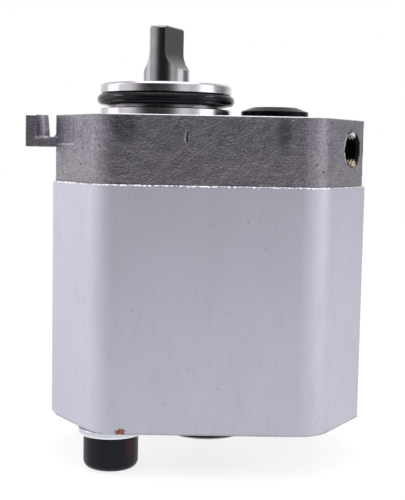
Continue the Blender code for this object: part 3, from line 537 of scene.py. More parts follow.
def rough_iron_finish(colours):
    """Grey iron as cast: grainy, streaked and pitted, with two oil stains, the mould's parting line with
    dashes of painted highlight along it, and a slit with painted shade inside and a painted highlight on its
    rim.
    """
    finish = Finish("rough_cast_iron", colours.cast_iron, 0.4, 1.0)
    patches = finish.noise(7.0, 4.0, (1.3, 1.3, 0.8), 0.6)
    streaks = finish.noise(1.5, 5.0, (5.0, 5.0, 0.35), 0.7, 3.0)
    scale = finish.noise(1.2, 4.0, (1.5, 1.5, 0.6), 0.7, 5.0)
    grains = finish.noise(0.55, 2.0, roughness=0.6, shift=7.0)
    finish.vary(finish.range(patches, 0.32, 0.68), 0.82, 1.18)
    low_half = finish.range(finish.z, -14.5, -9.0, 1.0, 0.3)
    brown = finish.product(finish.range(streaks, 0.44, 0.66, 0.0, 0.8), low_half)
    finish.lay(brown, tinted(finish.base, 1.18, 1.02, 0.84))
    for pattern, start, end, strength, factor in (
        (streaks, 0.5, 0.3, 0.5, 0.5),
        (scale, 0.52, 0.7, 0.25, 1.7),
        (scale, 0.46, 0.3, 0.3, 0.5),
        (grains, 0.53, 0.68, 0.42, 1.9),
        (grains, 0.46, 0.34, 0.42, 0.4),
    ):
        finish.lay(finish.range(pattern, start, end, 0.0, strength), factor)
    pits = finish.range(finish.cells(3.4, 2.0), 0.06, 0.12, 1.0, 0.0)
    finish.lay(finish.product(pits, 0.8), 0.15)
    stains = finish.most(*(finish.spot(*stain) for stain in OIL_STAINS))
    finish.lay(finish.product(stains, finish.range(scale, 0.3, 0.6, 0.5, 0.9)), 0.45)
    finish.lay(finish.product(finish.spot(*SCRATCH), 0.6), 0.4)
    # Painted highlight on the slit's rim, then painted shade inside the slit, which is also dented by the
    # bump
    finish.lay(finish.spot(*SLIT_RIM_HIGHLIGHT), 2.2)
    shaded_slit = finish.spot(*SHADED_SLIT)
    finish.lay(shaded_slit, 0.05)
    x, y = LUG_POCKET.x / MM, LUG_POCKET.y / MM
    pocket = finish.range(finish.radius(x, y), POCKET_RADIUS / MM + 0.03, POCKET_RADIUS / MM + 0.07, 1.0, 0.0)
    above_floor = finish.range(finish.z, LUG_FLOOR / MM - 0.1, LUG_FLOOR / MM - 0.05)
    finish.lay(finish.product(pocket, above_floor), tinted(finish.base, 2.2, 2.2, 2.15))
    # The mould's lines as bright dashes on the front faces: a painted highlight along their ridges
    ridge_highlights = [
        finish.product(finish.band(finish.z, *heights), finish.band(finish.x, *along))
        for heights, along in (PARTING_LINE, LUG_FLASH)
    ]
    dashes = finish.range(finish.noise(0.8, 2.0, shift=11.0), 0.42, 0.52)
    front = finish.range(finish.y, -8.6, -8.0, 1.0, 0.0)
    finish.lay(finish.product(finish.most(*ridge_highlights), dashes, front), 3.2)
    reach = finish.from_line(tuple(TAPPING_MOUTH / MM), tuple(TAPPING_OUT))
    rim = finish.product(finish.range(reach, 5.5, 5.6), finish.range(reach, 5.8, 6.0, 1.0, 0.0))
    ragged = finish.range(finish.noise(0.9, 2.0, shift=13.0), 0.34, 0.5, 0.25, 1.0)
    torn = finish.product(rim, finish.spot(*TORN_RIM), ragged)
    finish.lay(torn, tinted(colours.burr, 0.95, 0.88, 0.74))
    relief = finish.bump(grains, 0.11)
    for pattern, depth in ((scale, 0.05), (pits, -0.1), (shaded_slit, -0.4)):
        relief = finish.bump(pattern, depth, relief)
    return finish.made(finish.range(grains, 0.35, 0.65, 0.42, 0.3), relief)


def turned_iron_finish(colours):
    """Turned iron with fine rings about the drive shaft's axis and a thin film of oil, and painted shade on
    the groove's floor under the O-ring.
    """
    finish = Finish("turned_iron", colours.machined, 0.16, 1.0)
    base, reach = finish.base, finish.radius()
    smears = finish.noise(4.0, 4.0, (1.0, 1.0, 0.5), 0.6, 4.0)
    cool, warm = tinted(base, 1.03, 1.05, 1.08), tinted(base, 0.95, 0.92, 0.90)
    finish.tone = finish.blend(finish.range(smears, 0.35, 0.75), warm, cool)
    # The groove's floor under the O-ring is darker: painted shade of the ring, together with some oil
    inside = finish.product(finish.range(reach, 16.0, 16.2), finish.range(reach, 18.0, 18.8, 1.0, 0.0))
    finish.lay(finish.product(inside, finish.band(finish.z, 2.5, 7.2, 0.1)), 0.3)
    passes = finish.bump(finish.wave(finish.z, 0.13), 0.001)
    rings = finish.bump(finish.wave(reach, 0.16), 0.0012, passes)
    return finish.made(finish.range(smears, 0.3, 0.7, 0.11, 0.22), rings)


def shaded_thread_finish(colours):
    """Threads painted nearly black as shade inside the tapped hole, and bare metal where the tap broke out at
    the mouth.
    """
    # The base is nearly black: painted shade inside the tapped hole
    finish = Finish("oily_thread", scaled(colours.machined, 0.012), 0.3, 1.0)
    chips = finish.noise(0.7, 3.0, roughness=0.7, shift=4.0)
    for chip, start, end, bare in (
        (LOWER_CHIP, 0.3, 0.5, (1.0, 0.85, 0.6)),
        (UPPER_CHIP, 0.4, 0.48, (1.4, 1.45, 1.3)),
    ):
        mask = finish.product(finish.spot(*chip), finish.range(chips, start, end))
        finish.lay(mask, tinted(colours.machined, *bare))
    return finish.made(finish.range(chips, 0.3, 0.7, 0.25, 0.45), finish.bump(chips, 0.05))


def satin_aluminium_finish(colours):
    """Satin extruded aluminium: faint rubs, painted shade along the rear edge and the inspector's dab of
    paint.
    """
    finish = Finish("satin_aluminium", colours.aluminium, 0.5, 1.0)
    clouds = finish.noise(18.0, 3.0, (1.0, 1.0, 2.2))
    rubs = finish.noise(3.0, 5.0, (0.7, 0.7, 2.6), 0.65, 5.0)
    grain = finish.noise(0.25, 2.0, (1.0, 1.0, 5.0), shift=9.0)
    specks = finish.range(finish.cells(5.2, 3.0), 0.05, 0.075, 1.0, 0.0)
    finish.vary(finish.range(clouds, 0.3, 0.7), 0.97, 1.035)
    finish.lay(finish.range(rubs, 0.56, 0.8, 0.0, 0.38), 0.82)
    finish.lay(finish.product(specks, 0.55), 0.55)
    rear, washer = BODY_LOW.z / MM, centre_of("washer_a") / MM
    # Painted shade along the rear edge, weaker round the washer
    rear_edge_shade = finish.product(
        finish.range(finish.z, rear, rear + 0.55, 0.85, 0.0),
        finish.range(rubs, 0.3, 0.6, 0.6, 1.0),
        finish.range(finish.radius(washer.x, washer.y), 10.2, 11.0, 0.25, 1.0),
        finish.range(finish.z, rear + 0.205, rear + 0.23, 0.55, 1.0),
    )
    finish.lay(rear_edge_shade, tinted(finish.base, 0.16, 0.14, 0.13))
    dab = finish.product(finish.spot(*PAINT_DAB), finish.range(finish.noise(0.8, 3.0, shift=1.0), 0.36, 0.5))
    finish.lay(dab, tinted(colours.paint, 0.62, 0.6, 0.5))
    finish.wire(finish.maths("SUBTRACT", 1.0, dab), finish.shader.inputs["Metallic"])
    relief = finish.bump(grain, 0.004, finish.bump(rubs, 0.008))
    return finish.made(finish.range(rubs, 0.3, 0.8, 0.48, 0.58), relief)


def ground_steel_finish(colours):
    """Ground steel with marks round the shaft, darker patches, and painted shade on the rougher milled flats
    of the tang.
    """
    finish = Finish("ground_steel", colours.shaft_steel, 0.15, 1.0)
    marks = finish.noise(0.5, 3.0, (8.0, 8.0, 0.35), shift=2.0)
    patches = finish.noise(6.0, 3.0, shift=6.0)
    finish.vary(finish.range(patches, 0.35, 0.7), 0.88, 1.1)
    within = finish.range(finish.radius(), 6.85, 6.93, 1.0, 0.0)
    shaded_flats = finish.product(within, finish.band(finish.z, 13.0, 26.8, 0.05))
    # Painted shade on the tang's flats
    finish.lay(shaded_flats, 0.27)
    polish = finish.range(marks, 0.3, 0.75, 0.09, 0.16)
    return finish.made(finish.maths("ADD", polish, finish.product(shaded_flats, 0.14)), finish.bump(marks, 0.004))


def black_oxide_finish(colours):
    """Satin black oxide with a smear of the inspector's paint down one head."""
    finish = Finish("black_oxide", colours.black_oxide, 0.34, 0.0)
    finish.shader.inputs["Specular IOR Level"].default_value = 0.18
    grain = finish.noise(0.5, 3.0)
    film = finish.noise(3.0, 3.0, shift=5.0)
    finish.vary(film, 0.75, 1.5)
    worn = finish.range(finish.noise(1.6, 3.0, (0.7, 1.0, 1.6)), 0.3, 0.6, 0.25, 0.5)
    finish.lay(finish.product(finish.spot(*PAINT_SMEAR), worn), tinted(colours.paint, 0.3, 0.22, 0.3))
    return finish.made(finish.range(film, 0.3, 0.7, 0.32, 0.46), finish.bump(grain, 0.01))


def bright_zinc_finish(colours):
    """Bright zinc plate, lighter in a band along the washer's outer edge."""
    finish = Finish("bright_zinc", colours.zinc, 0.26, 1.0)
    frost = finish.noise(1.2, 4.0, roughness=0.6)
    outer = WASHER_LOW.z / MM
    finish.vary(frost, 0.72, 0.92)
    finish.lay(finish.range(finish.z, outer + 0.4, outer + 0.7, 1.0, 0.0), 1.12)
    return finish.made(finish.range(frost, 0.3, 0.7, 0.2, 0.34), finish.bump(frost, 0.012))


def sawn_edge_finish(colours):
    """Bright torn metal along a cut edge."""
    finish = Finish("sawn_edge", colours.burr, 0.3, 1.0)
    tears = finish.noise(0.35, 3.0, roughness=0.6)
    finish.vary(finish.range(tears, 0.35, 0.6), 0.7, 1.0)
    return finish.made(finish.range(tears, 0.3, 0.7, 0.24, 0.42), finish.bump(tears, 0.04))


def oiled_rubber_finish(colours):
    """Oiled black rubber with a faint moulded grain."""
    finish = Finish("oiled_rubber", colours.rubber, 0.2, 0.0)
    finish.shader.inputs["Specular IOR Level"].default_value = 0.2
    film = finish.noise(3.5, 3.0)
    grain = finish.noise(0.3, 2.0, shift=3.0)
    finish.vary(film, 0.7, 1.8)
    return finish.made(finish.range(film, 0.3, 0.7, 0.08, 0.17), finish.bump(grain, 0.006))


def glossy_plastic_finish(colours):
    """Glossy moulded plastic with light handling scuffs."""
    finish = Finish("glossy_plastic", colours.black_plastic, 0.2, 0.0)
    finish.shader.inputs["Specular IOR Level"].default_value = 0.08
    scuffs = finish.noise(2.2, 5.0, (1.0, 1.6, 0.6), 0.7)
    finish.vary(finish.range(scuffs, 0.5, 0.8), 0.5, 1.6)
    return finish.made(finish.range(scuffs, 0.35, 0.75, 0.16, 0.36), finish.bump(scuffs, 0.008))


def bearing_bronze_finish(colours):
    """Bearing bronze with fine bore marks."""
    finish = Finish("bearing_bronze", colours.bronze, 0.32, 1.0)
    marks = finish.noise(0.6, 3.0, (4.0, 4.0, 0.5))
    finish.vary(marks, 0.8, 1.15)
    return finish.made(finish.range(marks, 0.3, 0.7, 0.26, 0.4), finish.bump(marks, 0.01))


def ivory_plastic_finish(colours):
    """Ivory plastic with a moulded grain."""
    finish = Finish("ivory_plastic", colours.backup, 0.48, 0.0)
    grain = finish.noise(0.8, 3.0)
    finish.vary(grain, 0.9, 1.05)
    return finish.made(finish.range(grain, 0.3, 0.7, 0.42, 0.56), finish.bump(grain, 0.01))


FINISHES = {
    "rough_cast_iron": rough_iron_finish,
    "turned_iron": turned_iron_finish,
    "oily_thread": shaded_thread_finish,
    "satin_aluminium": satin_aluminium_finish,
    "sawn_edge": sawn_edge_finish,
    "ground_steel": ground_steel_finish,
    "oiled_rubber": oiled_rubber_finish,
    "glossy_plastic": glossy_plastic_finish,
    "black_oxide": black_oxide_finish,
    "bright_zinc": bright_zinc_finish,
    "bearing_bronze": bearing_bronze_finish,
    "ivory_plastic": ivory_plastic_finish,
}


def finish_of(name):
    """The finish with this name, made the first time that it is asked for."""
    return bpy.data.materials.get(name) or FINISHES[name](bpy.context.scene.pump_colours)


# ---- Outlines ----

LEAST_RADIUS = 0.05 * MM


def housing_outline(inset, spacing=0.8 * MM):
    """Evenly spaced (point, outward direction) pairs round the eight-sided housing, moved inward by inset."""
    sizes = bpy.context.scene.pump_sizes
    half = (BODY_HIGH - BODY_LOW) / 2
    middle = Vector((BODY_MIDDLE.x, BODY_MIDDLE.y))
    side = (half.x, half.y - sizes.corner_cut_front, sizes.side_radius)
    front = (half.x - sizes.corner_cut_side, half.y, sizes.front_radius)
    corners = []
    for sign_x, sign_y in ((1, 1), (-1, 1), (-1, -1), (1, -1)):
        pair = (side, front) if sign_x == sign_y else (front, side)
        corners += [(Vector((sign_x * x, sign_y * y)), radius) for x, y, radius in pair]
    following = corners[1:] + corners[:1]
    sides = []
    for (corner, _), (after, _) in zip(corners, following):
        along = (after - corner).normalized()
        sides.append((corner + middle + Vector((-along.y, along.x)) * inset, along))
    bends = []
    for i, (after, after_along) in enumerate(sides):
        before, before_along = sides[i - 1]
        cross = before_along.x * after_along.y - before_along.y * after_along.x
        gap = after - before
        travel = (gap.x * after_along.y - gap.y * after_along.x) / cross
        corner = before + before_along * travel
        turn = before_along.angle(after_along)
        radius = max(corners[i][1] - inset, LEAST_RADIUS)
        start = corner - before_along * radius * math.tan(turn / 2)
        centre = start + Vector((-before_along.y, before_along.x)) * radius
        first = math.atan2(start.y - centre.y, start.x - centre.x)
        steps = max(4, round(corners[i][1] * turn / spacing))
        bearings = [first + turn * k / steps for k in range(steps + 1)]
        outs = [Vector((math.cos(bearing), math.sin(bearing))) for bearing in bearings]
        bends.append([(centre + out * radius, out) for out in outs])
    outline = []
    for i, ((corner, _), (after, _)) in enumerate(zip(corners, following)):
        (start, out), (end, _) = bends[i][-1], bends[(i + 1) % len(bends)][0]
        steps = max(1, round((after - corner).length / spacing))
        outline += bends[i] + [(start.lerp(end, k / steps), out) for k in range(1, steps)]
    return outline


def figure_eight(radius, steps):
    """Two round lobes about the shafts, which meet in a waist."""
    waist = math.acos(MIDWAY / radius)
    right = arc((IDLER_X, 0.0), radius, waist - math.pi, math.pi - waist, steps)
    left = arc((0.0, 0.0), radius, waist, math.tau - waist, steps)
    return right[:-1] + left[:-1]


# ---- Thread ----

THREAD_STEPS = 8
THREAD_STEEPNESS = 2.6


def thread_tool(name, core, major, pitch, start, end, at, along, segments=48):
    """A cutter for an inside thread: a round bar whose surface winds between the core and major radius."""
    rows = round((end - start) / pitch * THREAD_STEPS)
    rings = []
    for row in range(rows + 1):
        height = start + (end - start) * row / rows
        ring = []
        for k in range(segments):
            phase = (height / pitch - k / segments) % 1.0
            lift = max(0.0, 1.0 - abs(phase - 0.5) * THREAD_STEEPNESS)
            fade = min(1.0, (height - start) / pitch)
            radius = core + (major - core) * lift * fade
            turn = math.tau * k / segments
            ring.append((radius * math.cos(turn), radius * math.sin(turn), height))
        rings.append(ring)
    return aim(loft(name, rings), at, along)


# ---- Front cover ----

COVER_ROWS = 22
COVER_EDGE = 0.1 * MM
COVER_EDGE_HEIGHT = 0.3 * MM
COVER_GRAIN = 0.07 * MM
COVER_GRAIN_SIZE = 2.4 * MM
DISC_THICKNESS = 2.85 * MM
DISC_EDGE = 0.6 * MM
GROOVE_FOOT = 2.45 * MM
GROOVE_FILLET = 0.25 * MM
SHAFT_HOLE_RADIUS = 7.5 * MM
SEAL_BORE_RADIUS = 12.15 * MM
SEAL_BORE_FLOOR = -0.2 * MM
CLIP_GROOVE_RADIUS = 13.05 * MM
PRESSURE_PORT_DEPTH = 12 * MM
PORT_CHAMFER = 0.5 * MM
DRILLING_RADIUS = 3.5 * MM
TAPPING_MOUTH = Vector((55.21, -16.22, -8.65)) * MM
TAPPING_OUT = Vector((0.847, -0.532, 0.0)).normalized()
TAPPING_RADIUS = 4.3 * MM
TAPPING_MOUTH_RADIUS = 5.55 * MM
TAPPING_DEPTH = 27 * MM
THREAD_LENGTH, THREAD_LIFT = 9.2 * MM, 0.31 * MM
THREAD_HEIGHT = 0.56 * MM
SCREW_HOLE_RADIUS, SCREW_HOLE_POINT = 5.2 * MM, 2 * MM
SAWN_HEIGHT = 0.35 * MM
LUG_FRONT, LUG_BACK = -9.0 * MM, -2.8 * MM
LUG_HEIGHT = 9.55 * MM
LUG_FLOOR = -6.55 * MM
LUG_CORNER, LUG_EDGE = 0.45 * MM, 0.25 * MM
LUG_FILLET, SLOT_FILLET = 1.3 * MM, 0.5 * MM
# How far the lug runs into the cover, and how far its wall stands from the cover at the top and the foot
LUG_ROOT = 3 * MM
SLOT_TOP, SLOT_FOOT = 3.2 * MM, 2.6 * MM
LUG_POCKET = Vector((-35.9 * MM, LUG_FRONT + 0.7 * MM, 0.0))
POCKET_RADIUS = 2.7 * MM


def cover_plate(inset, chamfer):
    """The cast plate: uneven sides between a worn rear edge and the milled edge of the mounting face."""
    bottom = BODY_HIGH.z + FACE_GAP
    start = bottom + COVER_EDGE_HEIGHT
    rows = [(bottom, COVER_EDGE), (bottom + COVER_EDGE, 0.0), (start, 0.0)]
    rows += [(start + (-chamfer - start) * k / COVER_ROWS, 0.0) for k in range(1, COVER_ROWS)]
    rows += [(-chamfer, 0.0), (0.0, chamfer)]
    rings = []
    for z, extra in rows:
        ring = []
        for point, out in housing_outline(inset + extra):
            rough = noise.fractal(Vector((point.x, point.y, z)) / COVER_GRAIN_SIZE, 1.0, 2.0, 3) + 0.5
            depth = COVER_GRAIN * min(1.0, max(0.0, rough)) if bottom < z < -chamfer else 0.0
            ring.append((point.x - out.x * depth, point.y - out.y * depth, z))
        rings.append(ring)
    return loft("cover_casting", rings)


def spigot(radius):
    """The turned pilot, with its groove and the fine edges that the tool leaves."""
    top = COVER_HIGH.z
    disc = top - DISC_THICKNESS
    floor = RING_HIGH.x - (RING_HIGH.z - RING_LOW.z) - CLEARANCE
    fine = 0.12 * MM
    profile = [
        (0.0, top),
        (radius - DISC_EDGE, top),
        (radius - 0.05 * MM, top - DISC_EDGE + 0.05 * MM),
        (radius, top - DISC_EDGE - 0.1 * MM),
        (radius, disc + fine),
        (radius - fine, disc),
        (floor + GROOVE_FILLET, disc),
        (floor, disc - GROOVE_FILLET),
        (floor, GROOVE_FOOT + GROOVE_FILLET),
        (floor + GROOVE_FILLET, GROOVE_FOOT),
        (radius - fine, GROOVE_FOOT),
        (radius, GROOVE_FOOT - fine),
        (radius, 0.3 * MM),
        (radius + 0.3 * MM, -OVERCUT),
        (0.0, -OVERCUT),
    ]
    return turned("spigot", profile, 144)


def lug():
    """The ear on the cover's side: an outer wall with a half-round pocket, on a floor up to the cover."""
    wall = BODY_LOW.x + bpy.context.scene.pump_sizes.cover_inset
    left, right = COVER_LOW.x, wall + LUG_ROOT
    outline = arc((left + LUG_CORNER, LUG_FRONT + LUG_CORNER), LUG_CORNER, math.pi, 1.5 * math.pi, 5)
    outline += [(right, LUG_FRONT), (right, LUG_BACK)]
    outline += arc((left + LUG_CORNER, LUG_BACK - LUG_CORNER), LUG_CORNER, math.pi / 2, math.pi, 5)
    rows = ((-LUG_HEIGHT, LUG_EDGE), (-LUG_HEIGHT + LUG_EDGE, 0.0), (-LUG_EDGE, 0.0), (0.0, LUG_EDGE))
    rings = []
    for z, inset in rows:
        ring = []
        for x, y in outline:
            x = x + inset if x < left + LUG_CORNER * 1.2 else x
            ring.append((x, max(LUG_FRONT + inset, min(LUG_BACK - inset, y)), z))
        rings.append(ring)
    ear = loft("lug", rings)
    foot = (wall - SLOT_FOOT + SLOT_FILLET, LUG_FLOOR + SLOT_FILLET)
    corner = (wall - LUG_FILLET, LUG_FLOOR + LUG_FILLET)
    chain = [(wall - SLOT_TOP, OVERCUT)]
    chain += arc(foot, SLOT_FILLET, math.pi, 1.5 * math.pi, 5)
    chain += arc(corner, LUG_FILLET, 1.5 * math.pi, math.tau, 8)
    chain += [(right + OVERCUT, corner[1]), (right + OVERCUT, OVERCUT)]
    slot = loft("slot", [[(x, y, z) for x, z in chain] for y in (LUG_FRONT - OVERCUT, LUG_BACK + OVERCUT)])
    pocket = [(0.0, OVERCUT), (POCKET_RADIUS, OVERCUT), (POCKET_RADIUS - 0.1 * MM, LUG_FLOOR + 0.3 * MM)]
    pocket += [(POCKET_RADIUS - 0.4 * MM, LUG_FLOOR), (0.0, LUG_FLOOR)]
    return cut(ear, slot, turned("pocket", pocket, 64, LUG_POCKET))


def cover_bores(port):
    """The stepped bore for the shaft, the port, its drilling, the side tapping, screw and dowel holes."""
    top = COVER_HIGH.z
    rear = BODY_HIGH.z
    back = rear - OVERCUT
    stepped = [
        (0.0, top + OVERCUT),
        (SEAL_BORE_RADIUS + PORT_CHAMFER + OVERCUT, top + OVERCUT),
        (SEAL_BORE_RADIUS, top - PORT_CHAMFER),
        (SEAL_BORE_RADIUS, CLIP_HIGH.z + CLEARANCE),
        (CLIP_GROOVE_RADIUS, CLIP_HIGH.z + CLEARANCE),
        (CLIP_GROOVE_RADIUS, CLIP_LOW.z - CLEARANCE),
        (SEAL_BORE_RADIUS, CLIP_LOW.z - CLEARANCE),
        (SEAL_BORE_RADIUS, SEAL_BORE_FLOOR),
        (SHAFT_HOLE_RADIUS, SEAL_BORE_FLOOR),
        (SHAFT_HOLE_RADIUS, back),
        (0.0, back),
    ]
    yield turned("stepped", stepped, 128)
    port_profile = [
        (0.0, OVERCUT),
        (PRESSURE_PORT_RADIUS + PORT_CHAMFER + OVERCUT, OVERCUT),
        (PRESSURE_PORT_RADIUS, -PORT_CHAMFER),
        (PRESSURE_PORT_RADIUS, -PRESSURE_PORT_DEPTH),
        (0.0, -PRESSURE_PORT_DEPTH),
    ]
    yield turned("port", port_profile, 96, port)
    outlet = Vector((MIDWAY, OUTLET_Y, rear))
    start = Vector((port.x, port.y, -PRESSURE_PORT_DEPTH + DRILLING_RADIUS))
    past = outlet + (outlet - start).normalized() * 2 * DRILLING_RADIUS
    reach = (past - start).length
    drilling = [(0.0, reach), (DRILLING_RADIUS, reach), (DRILLING_RADIUS, 0.0), (0.0, 0.0)]
    yield turned("drilling", drilling, 40, start, past - start)
    yield from tapping_tools(port)
    for node in ("cap_screw_a", "cap_screw_b"):
        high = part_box(node)[1].z + SCREW_HOLE_POINT
        yield drill("screw_hole", centre_of(node), SCREW_HOLE_RADIUS, back, high, 40, SCREW_HOLE_POINT)
    for node in ("dowel_a", "dowel_b"):
        low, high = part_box(node)
        radius = (high.x - low.x) / 2 + CLEARANCE
        yield drill("dowel_hole", (low + high) / 2, radius, back, high.z + 2 * CLEARANCE, 32)


def tapping_tools(port):
    """The threaded gauge tapping with the small cone at its mouth."""
    pitch = bpy.context.scene.pump_sizes.thread_pitch
    reach = (TAPPING_MOUTH - Vector((port.x, port.y, TAPPING_MOUTH.z))).length
    lift = 0.5 * MM
    cone = [
        (0.0, lift),
        (TAPPING_MOUTH_RADIUS + lift, lift),
        (TAPPING_RADIUS * 1.06, -0.65 * MM),
        (TAPPING_RADIUS * 0.96, -0.9 * MM),
        (TAPPING_RADIUS * 0.96, -reach),
        (0.0, -reach),
    ]
    mouth = (TAPPING_MOUTH, TAPPING_OUT)
    yield turned("tapping", cone, 48, *mouth)
    radii = (TAPPING_RADIUS, TAPPING_RADIUS + THREAD_HEIGHT)
    yield thread_tool("tapping_thread", *radii, pitch, -THREAD_LENGTH, THREAD_LIFT, *mouth)


class PUMP_OT_front_cover(bpy.types.Operator):
    """Build the cast cover with its spigot, lug, port and side tapping"""

    bl_idname = "gear_pump.front_cover"
    bl_label = "Front cover"

    def execute(self, context):
        sizes = context.scene.pump_sizes
        cover = cover_plate(sizes.cover_inset, sizes.cover_chamfer)
        join(cover, spigot(sizes.spigot_diameter / 2), lug())
        port = centre_of("pressure_plug")
        port.z = 0.0
        cut(cover, *cover_bores(port))
        pilot = sizes.spigot_diameter / 2 + 0.4 * MM

        names = ("rough_cast_iron", "turned_iron", "oily_thread", "sawn_edge")
        cast, machined, threaded, sawn = range(len(names))

        def surface(face):
            x, y, z = face.center
            from_axis, upward = math.hypot(x, y), face.normal.z
            from_mouth = face.center - TAPPING_MOUTH
            depth = -from_mouth.dot(TAPPING_OUT)
            beside = (from_mouth + TAPPING_OUT * depth).length
            if 0.03 * MM < depth < TAPPING_DEPTH and beside < TAPPING_MOUTH_RADIUS + 0.05 * MM:
                return threaded
            if -SAWN_HEIGHT < z < 0.0 and 0.3 < upward < 0.9 and from_axis > pilot:
                return sawn
            return machined if upward > 0.9 and z > -0.1 * MM or from_axis < pilot and z > 0 else cast

        dress(cover, "housing", ["front_cover"], [finish_of(name) for name in names], surface)
        return {"FINISHED"}


# ---- Body ----

BODY_SPACING = 0.4 * MM
REAR_EDGE = ((0.0, 0.16 * MM), (0.05 * MM, 0.05 * MM), (0.16 * MM, 0.0))
WORN_CORNER = Vector((BODY_LOW.x, BODY_MIDDLE.y - 9.7 * MM))
WORN_DEPTH, WORN_HEIGHT, WORN_REACH = 1.1 * MM, 1.3 * MM, 3.2 * MM
BURR_GRAIN, BURR_NICKS, BURR_TEETH = 0.9 * MM, 3.7 * MM, 1.7 * MM
TORN_DEPTH, TORN_MARGIN = 0.6 * MM, 2 * MM
SUCTION_PORT_DEPTH = 15 * MM
PORT_BEVEL_DEPTH, PORT_BEVEL_WIDTH = 1.0 * MM, 0.7 * MM
SPOT_FACE_DEPTH = 0.3 * MM
SPOT_FACE_MARGIN = 1.0 * MM
INLET_Y = -17 * MM
INLET_RADIUS = 6.5 * MM
WINDOW_HALF, WINDOW_END = 6 * MM, -5.3 * MM
OUTLET_RADIUS = 4.5 * MM
BODY_SCREW_RADIUS = 5.5 * MM
SEAL_GROOVE_DEPTH, SEAL_GROOVE_INSIDE = 1.9 * MM, 2.1 * MM


def body_shell(burr):
    """The extruded body between its softened rear edge and the ragged edge at its front."""
    bottom, top = BODY_LOW.z, BODY_HIGH.z
    rows = [(bottom + rise, inset) for rise, inset in REAR_EDGE]
    rows += [(bottom + share * WORN_HEIGHT, 0.0) for share in (0.35, 0.65, 1.0)]
    rows += [(top - 1.5 * MM, 0.0), (top - 1.6 * burr, 0.0)]
    rings = []
    for z, inset in rows:
        ring = []
        for point, out in housing_outline(inset, BODY_SPACING):
            near = max(0.0, 1.0 - (Vector((point.x, point.y)) - WORN_CORNER).length / WORN_REACH)
            low = max(0.0, 1.0 - (z - bottom) / WORN_HEIGHT)
            knock = WORN_DEPTH * near * near * (3.0 - 2.0 * near) * low * low
            ring.append((point.x - out.x * knock, point.y - out.y * knock, z))
        rings.append(ring)
    edge, lip, rim = [], [], []
    outer, inner = housing_outline(0.0, BODY_SPACING), housing_outline(1.3 * burr, BODY_SPACING)
    for k, ((point, _), (within, _)) in enumerate(zip(outer, inner)):
        place = Vector((point.x, point.y, 0.0))
        ragged = noise.fractal(place / BURR_GRAIN, 1.0, 2.0, 3)
        nicks = noise.noise(place / BURR_NICKS)
        teeth = math.sin(math.tau * k * BODY_SPACING / BURR_TEETH + 3.0 * nicks)
        drop = burr * max(0.35, min(1.5, 0.95 + 0.35 * ragged + 0.3 * nicks + 0.35 * teeth))
        edge.append((point.x, point.y, top - drop))
        share = 0.5 + 0.3 * noise.noise(place / (0.8 * MM) + Vector((7.0, 0.0, 0.0)))
        half = point.lerp(within, max(0.1, min(0.9, share)))
        lip.append((half.x, half.y, top - drop * 0.15))
        rim.append((within.x, within.y, top))
    return loft("body_extrusion", rings + [edge, lip, rim])


def body_bores(port):
    """The gears' bore, the suction port and its duct, the pressure duct, screw holes and dowel holes."""
    mouth = BODY_LOW.z
    top, bottom = BODY_HIGH.z + OVERCUT, mouth - OVERCUT
    gear_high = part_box("driven_gear")[1]
    tip = max(gear_high.x - IDLER_X, gear_high.y) + TIP_CLEARANCE
    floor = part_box("rear_bearing_block")[0].z - SEAT_GAP
    yield prism("gear_bore", figure_eight(tip, 72), floor, top)
    roof, spot_roof = mouth + SUCTION_PORT_DEPTH, mouth + SPOT_FACE_DEPTH
    spot = (REAR_PLUG_HIGH.x - REAR_PLUG_LOW.x) / 2 + SPOT_FACE_MARGIN
    suction = [
        (0.0, roof),
        (SUCTION_PORT_RADIUS, roof),
        (SUCTION_PORT_RADIUS, mouth + PORT_BEVEL_DEPTH),
        (SUCTION_PORT_RADIUS + PORT_BEVEL_WIDTH, spot_roof),
        (spot, spot_roof),
        (spot, bottom),
        (0.0, bottom),
    ]
    yield turned("suction", suction, 96, port)
    yield drill("duct", Vector((MIDWAY, INLET_Y, 0.0)), INLET_RADIUS, bottom, TEETH_TOP, 48)
    left, right = MIDWAY - WINDOW_HALF, MIDWAY + WINDOW_HALF
    window = [(left, INLET_Y), (right, INLET_Y), (right, WINDOW_END), (left, WINDOW_END)]
    yield prism("window", window, TEETH_FOOT, TEETH_TOP - SEAT_GAP)
    yield drill("outlet", Vector((MIDWAY, OUTLET_Y, 0.0)), OUTLET_RADIUS, TEETH_FOOT, top, 40)
    for node in ("cap_screw_a", "cap_screw_b"):
        yield drill("screw_hole", centre_of(node), BODY_SCREW_RADIUS, bottom, top, 48)
    for node in ("dowel_a", "dowel_b"):
        low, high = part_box(node)
        radius = (high.x - low.x) / 2 + CLEARANCE
        yield drill("dowel_hole", (low + high) / 2, radius, low.z - 2 * CLEARANCE, top, 32)
    yield seal_groove(top)


def stadium(radius, steps=40):
    """A racetrack about both shafts."""
    quarter = math.pi / 2
    right = arc((IDLER_X, 0.0), radius, -quarter, quarter, steps)
    left = arc((0.0, 0.0), radius, quarter, 3 * quarter, steps)
    return right + left


def seal_groove(top):
    """The racetrack groove of the seal between the body and the cover."""
    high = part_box("cover_seal")[1]
    floor = BODY_HIGH.z - SEAL_GROOVE_DEPTH
    groove = prism("seal_groove", stadium(high.y + TIP_CLEARANCE), floor, top)
    island = prism("seal_island", stadium(high.y - SEAL_GROOVE_INSIDE), floor - OVERCUT, top + OVERCUT)
    return cut(groove, island)


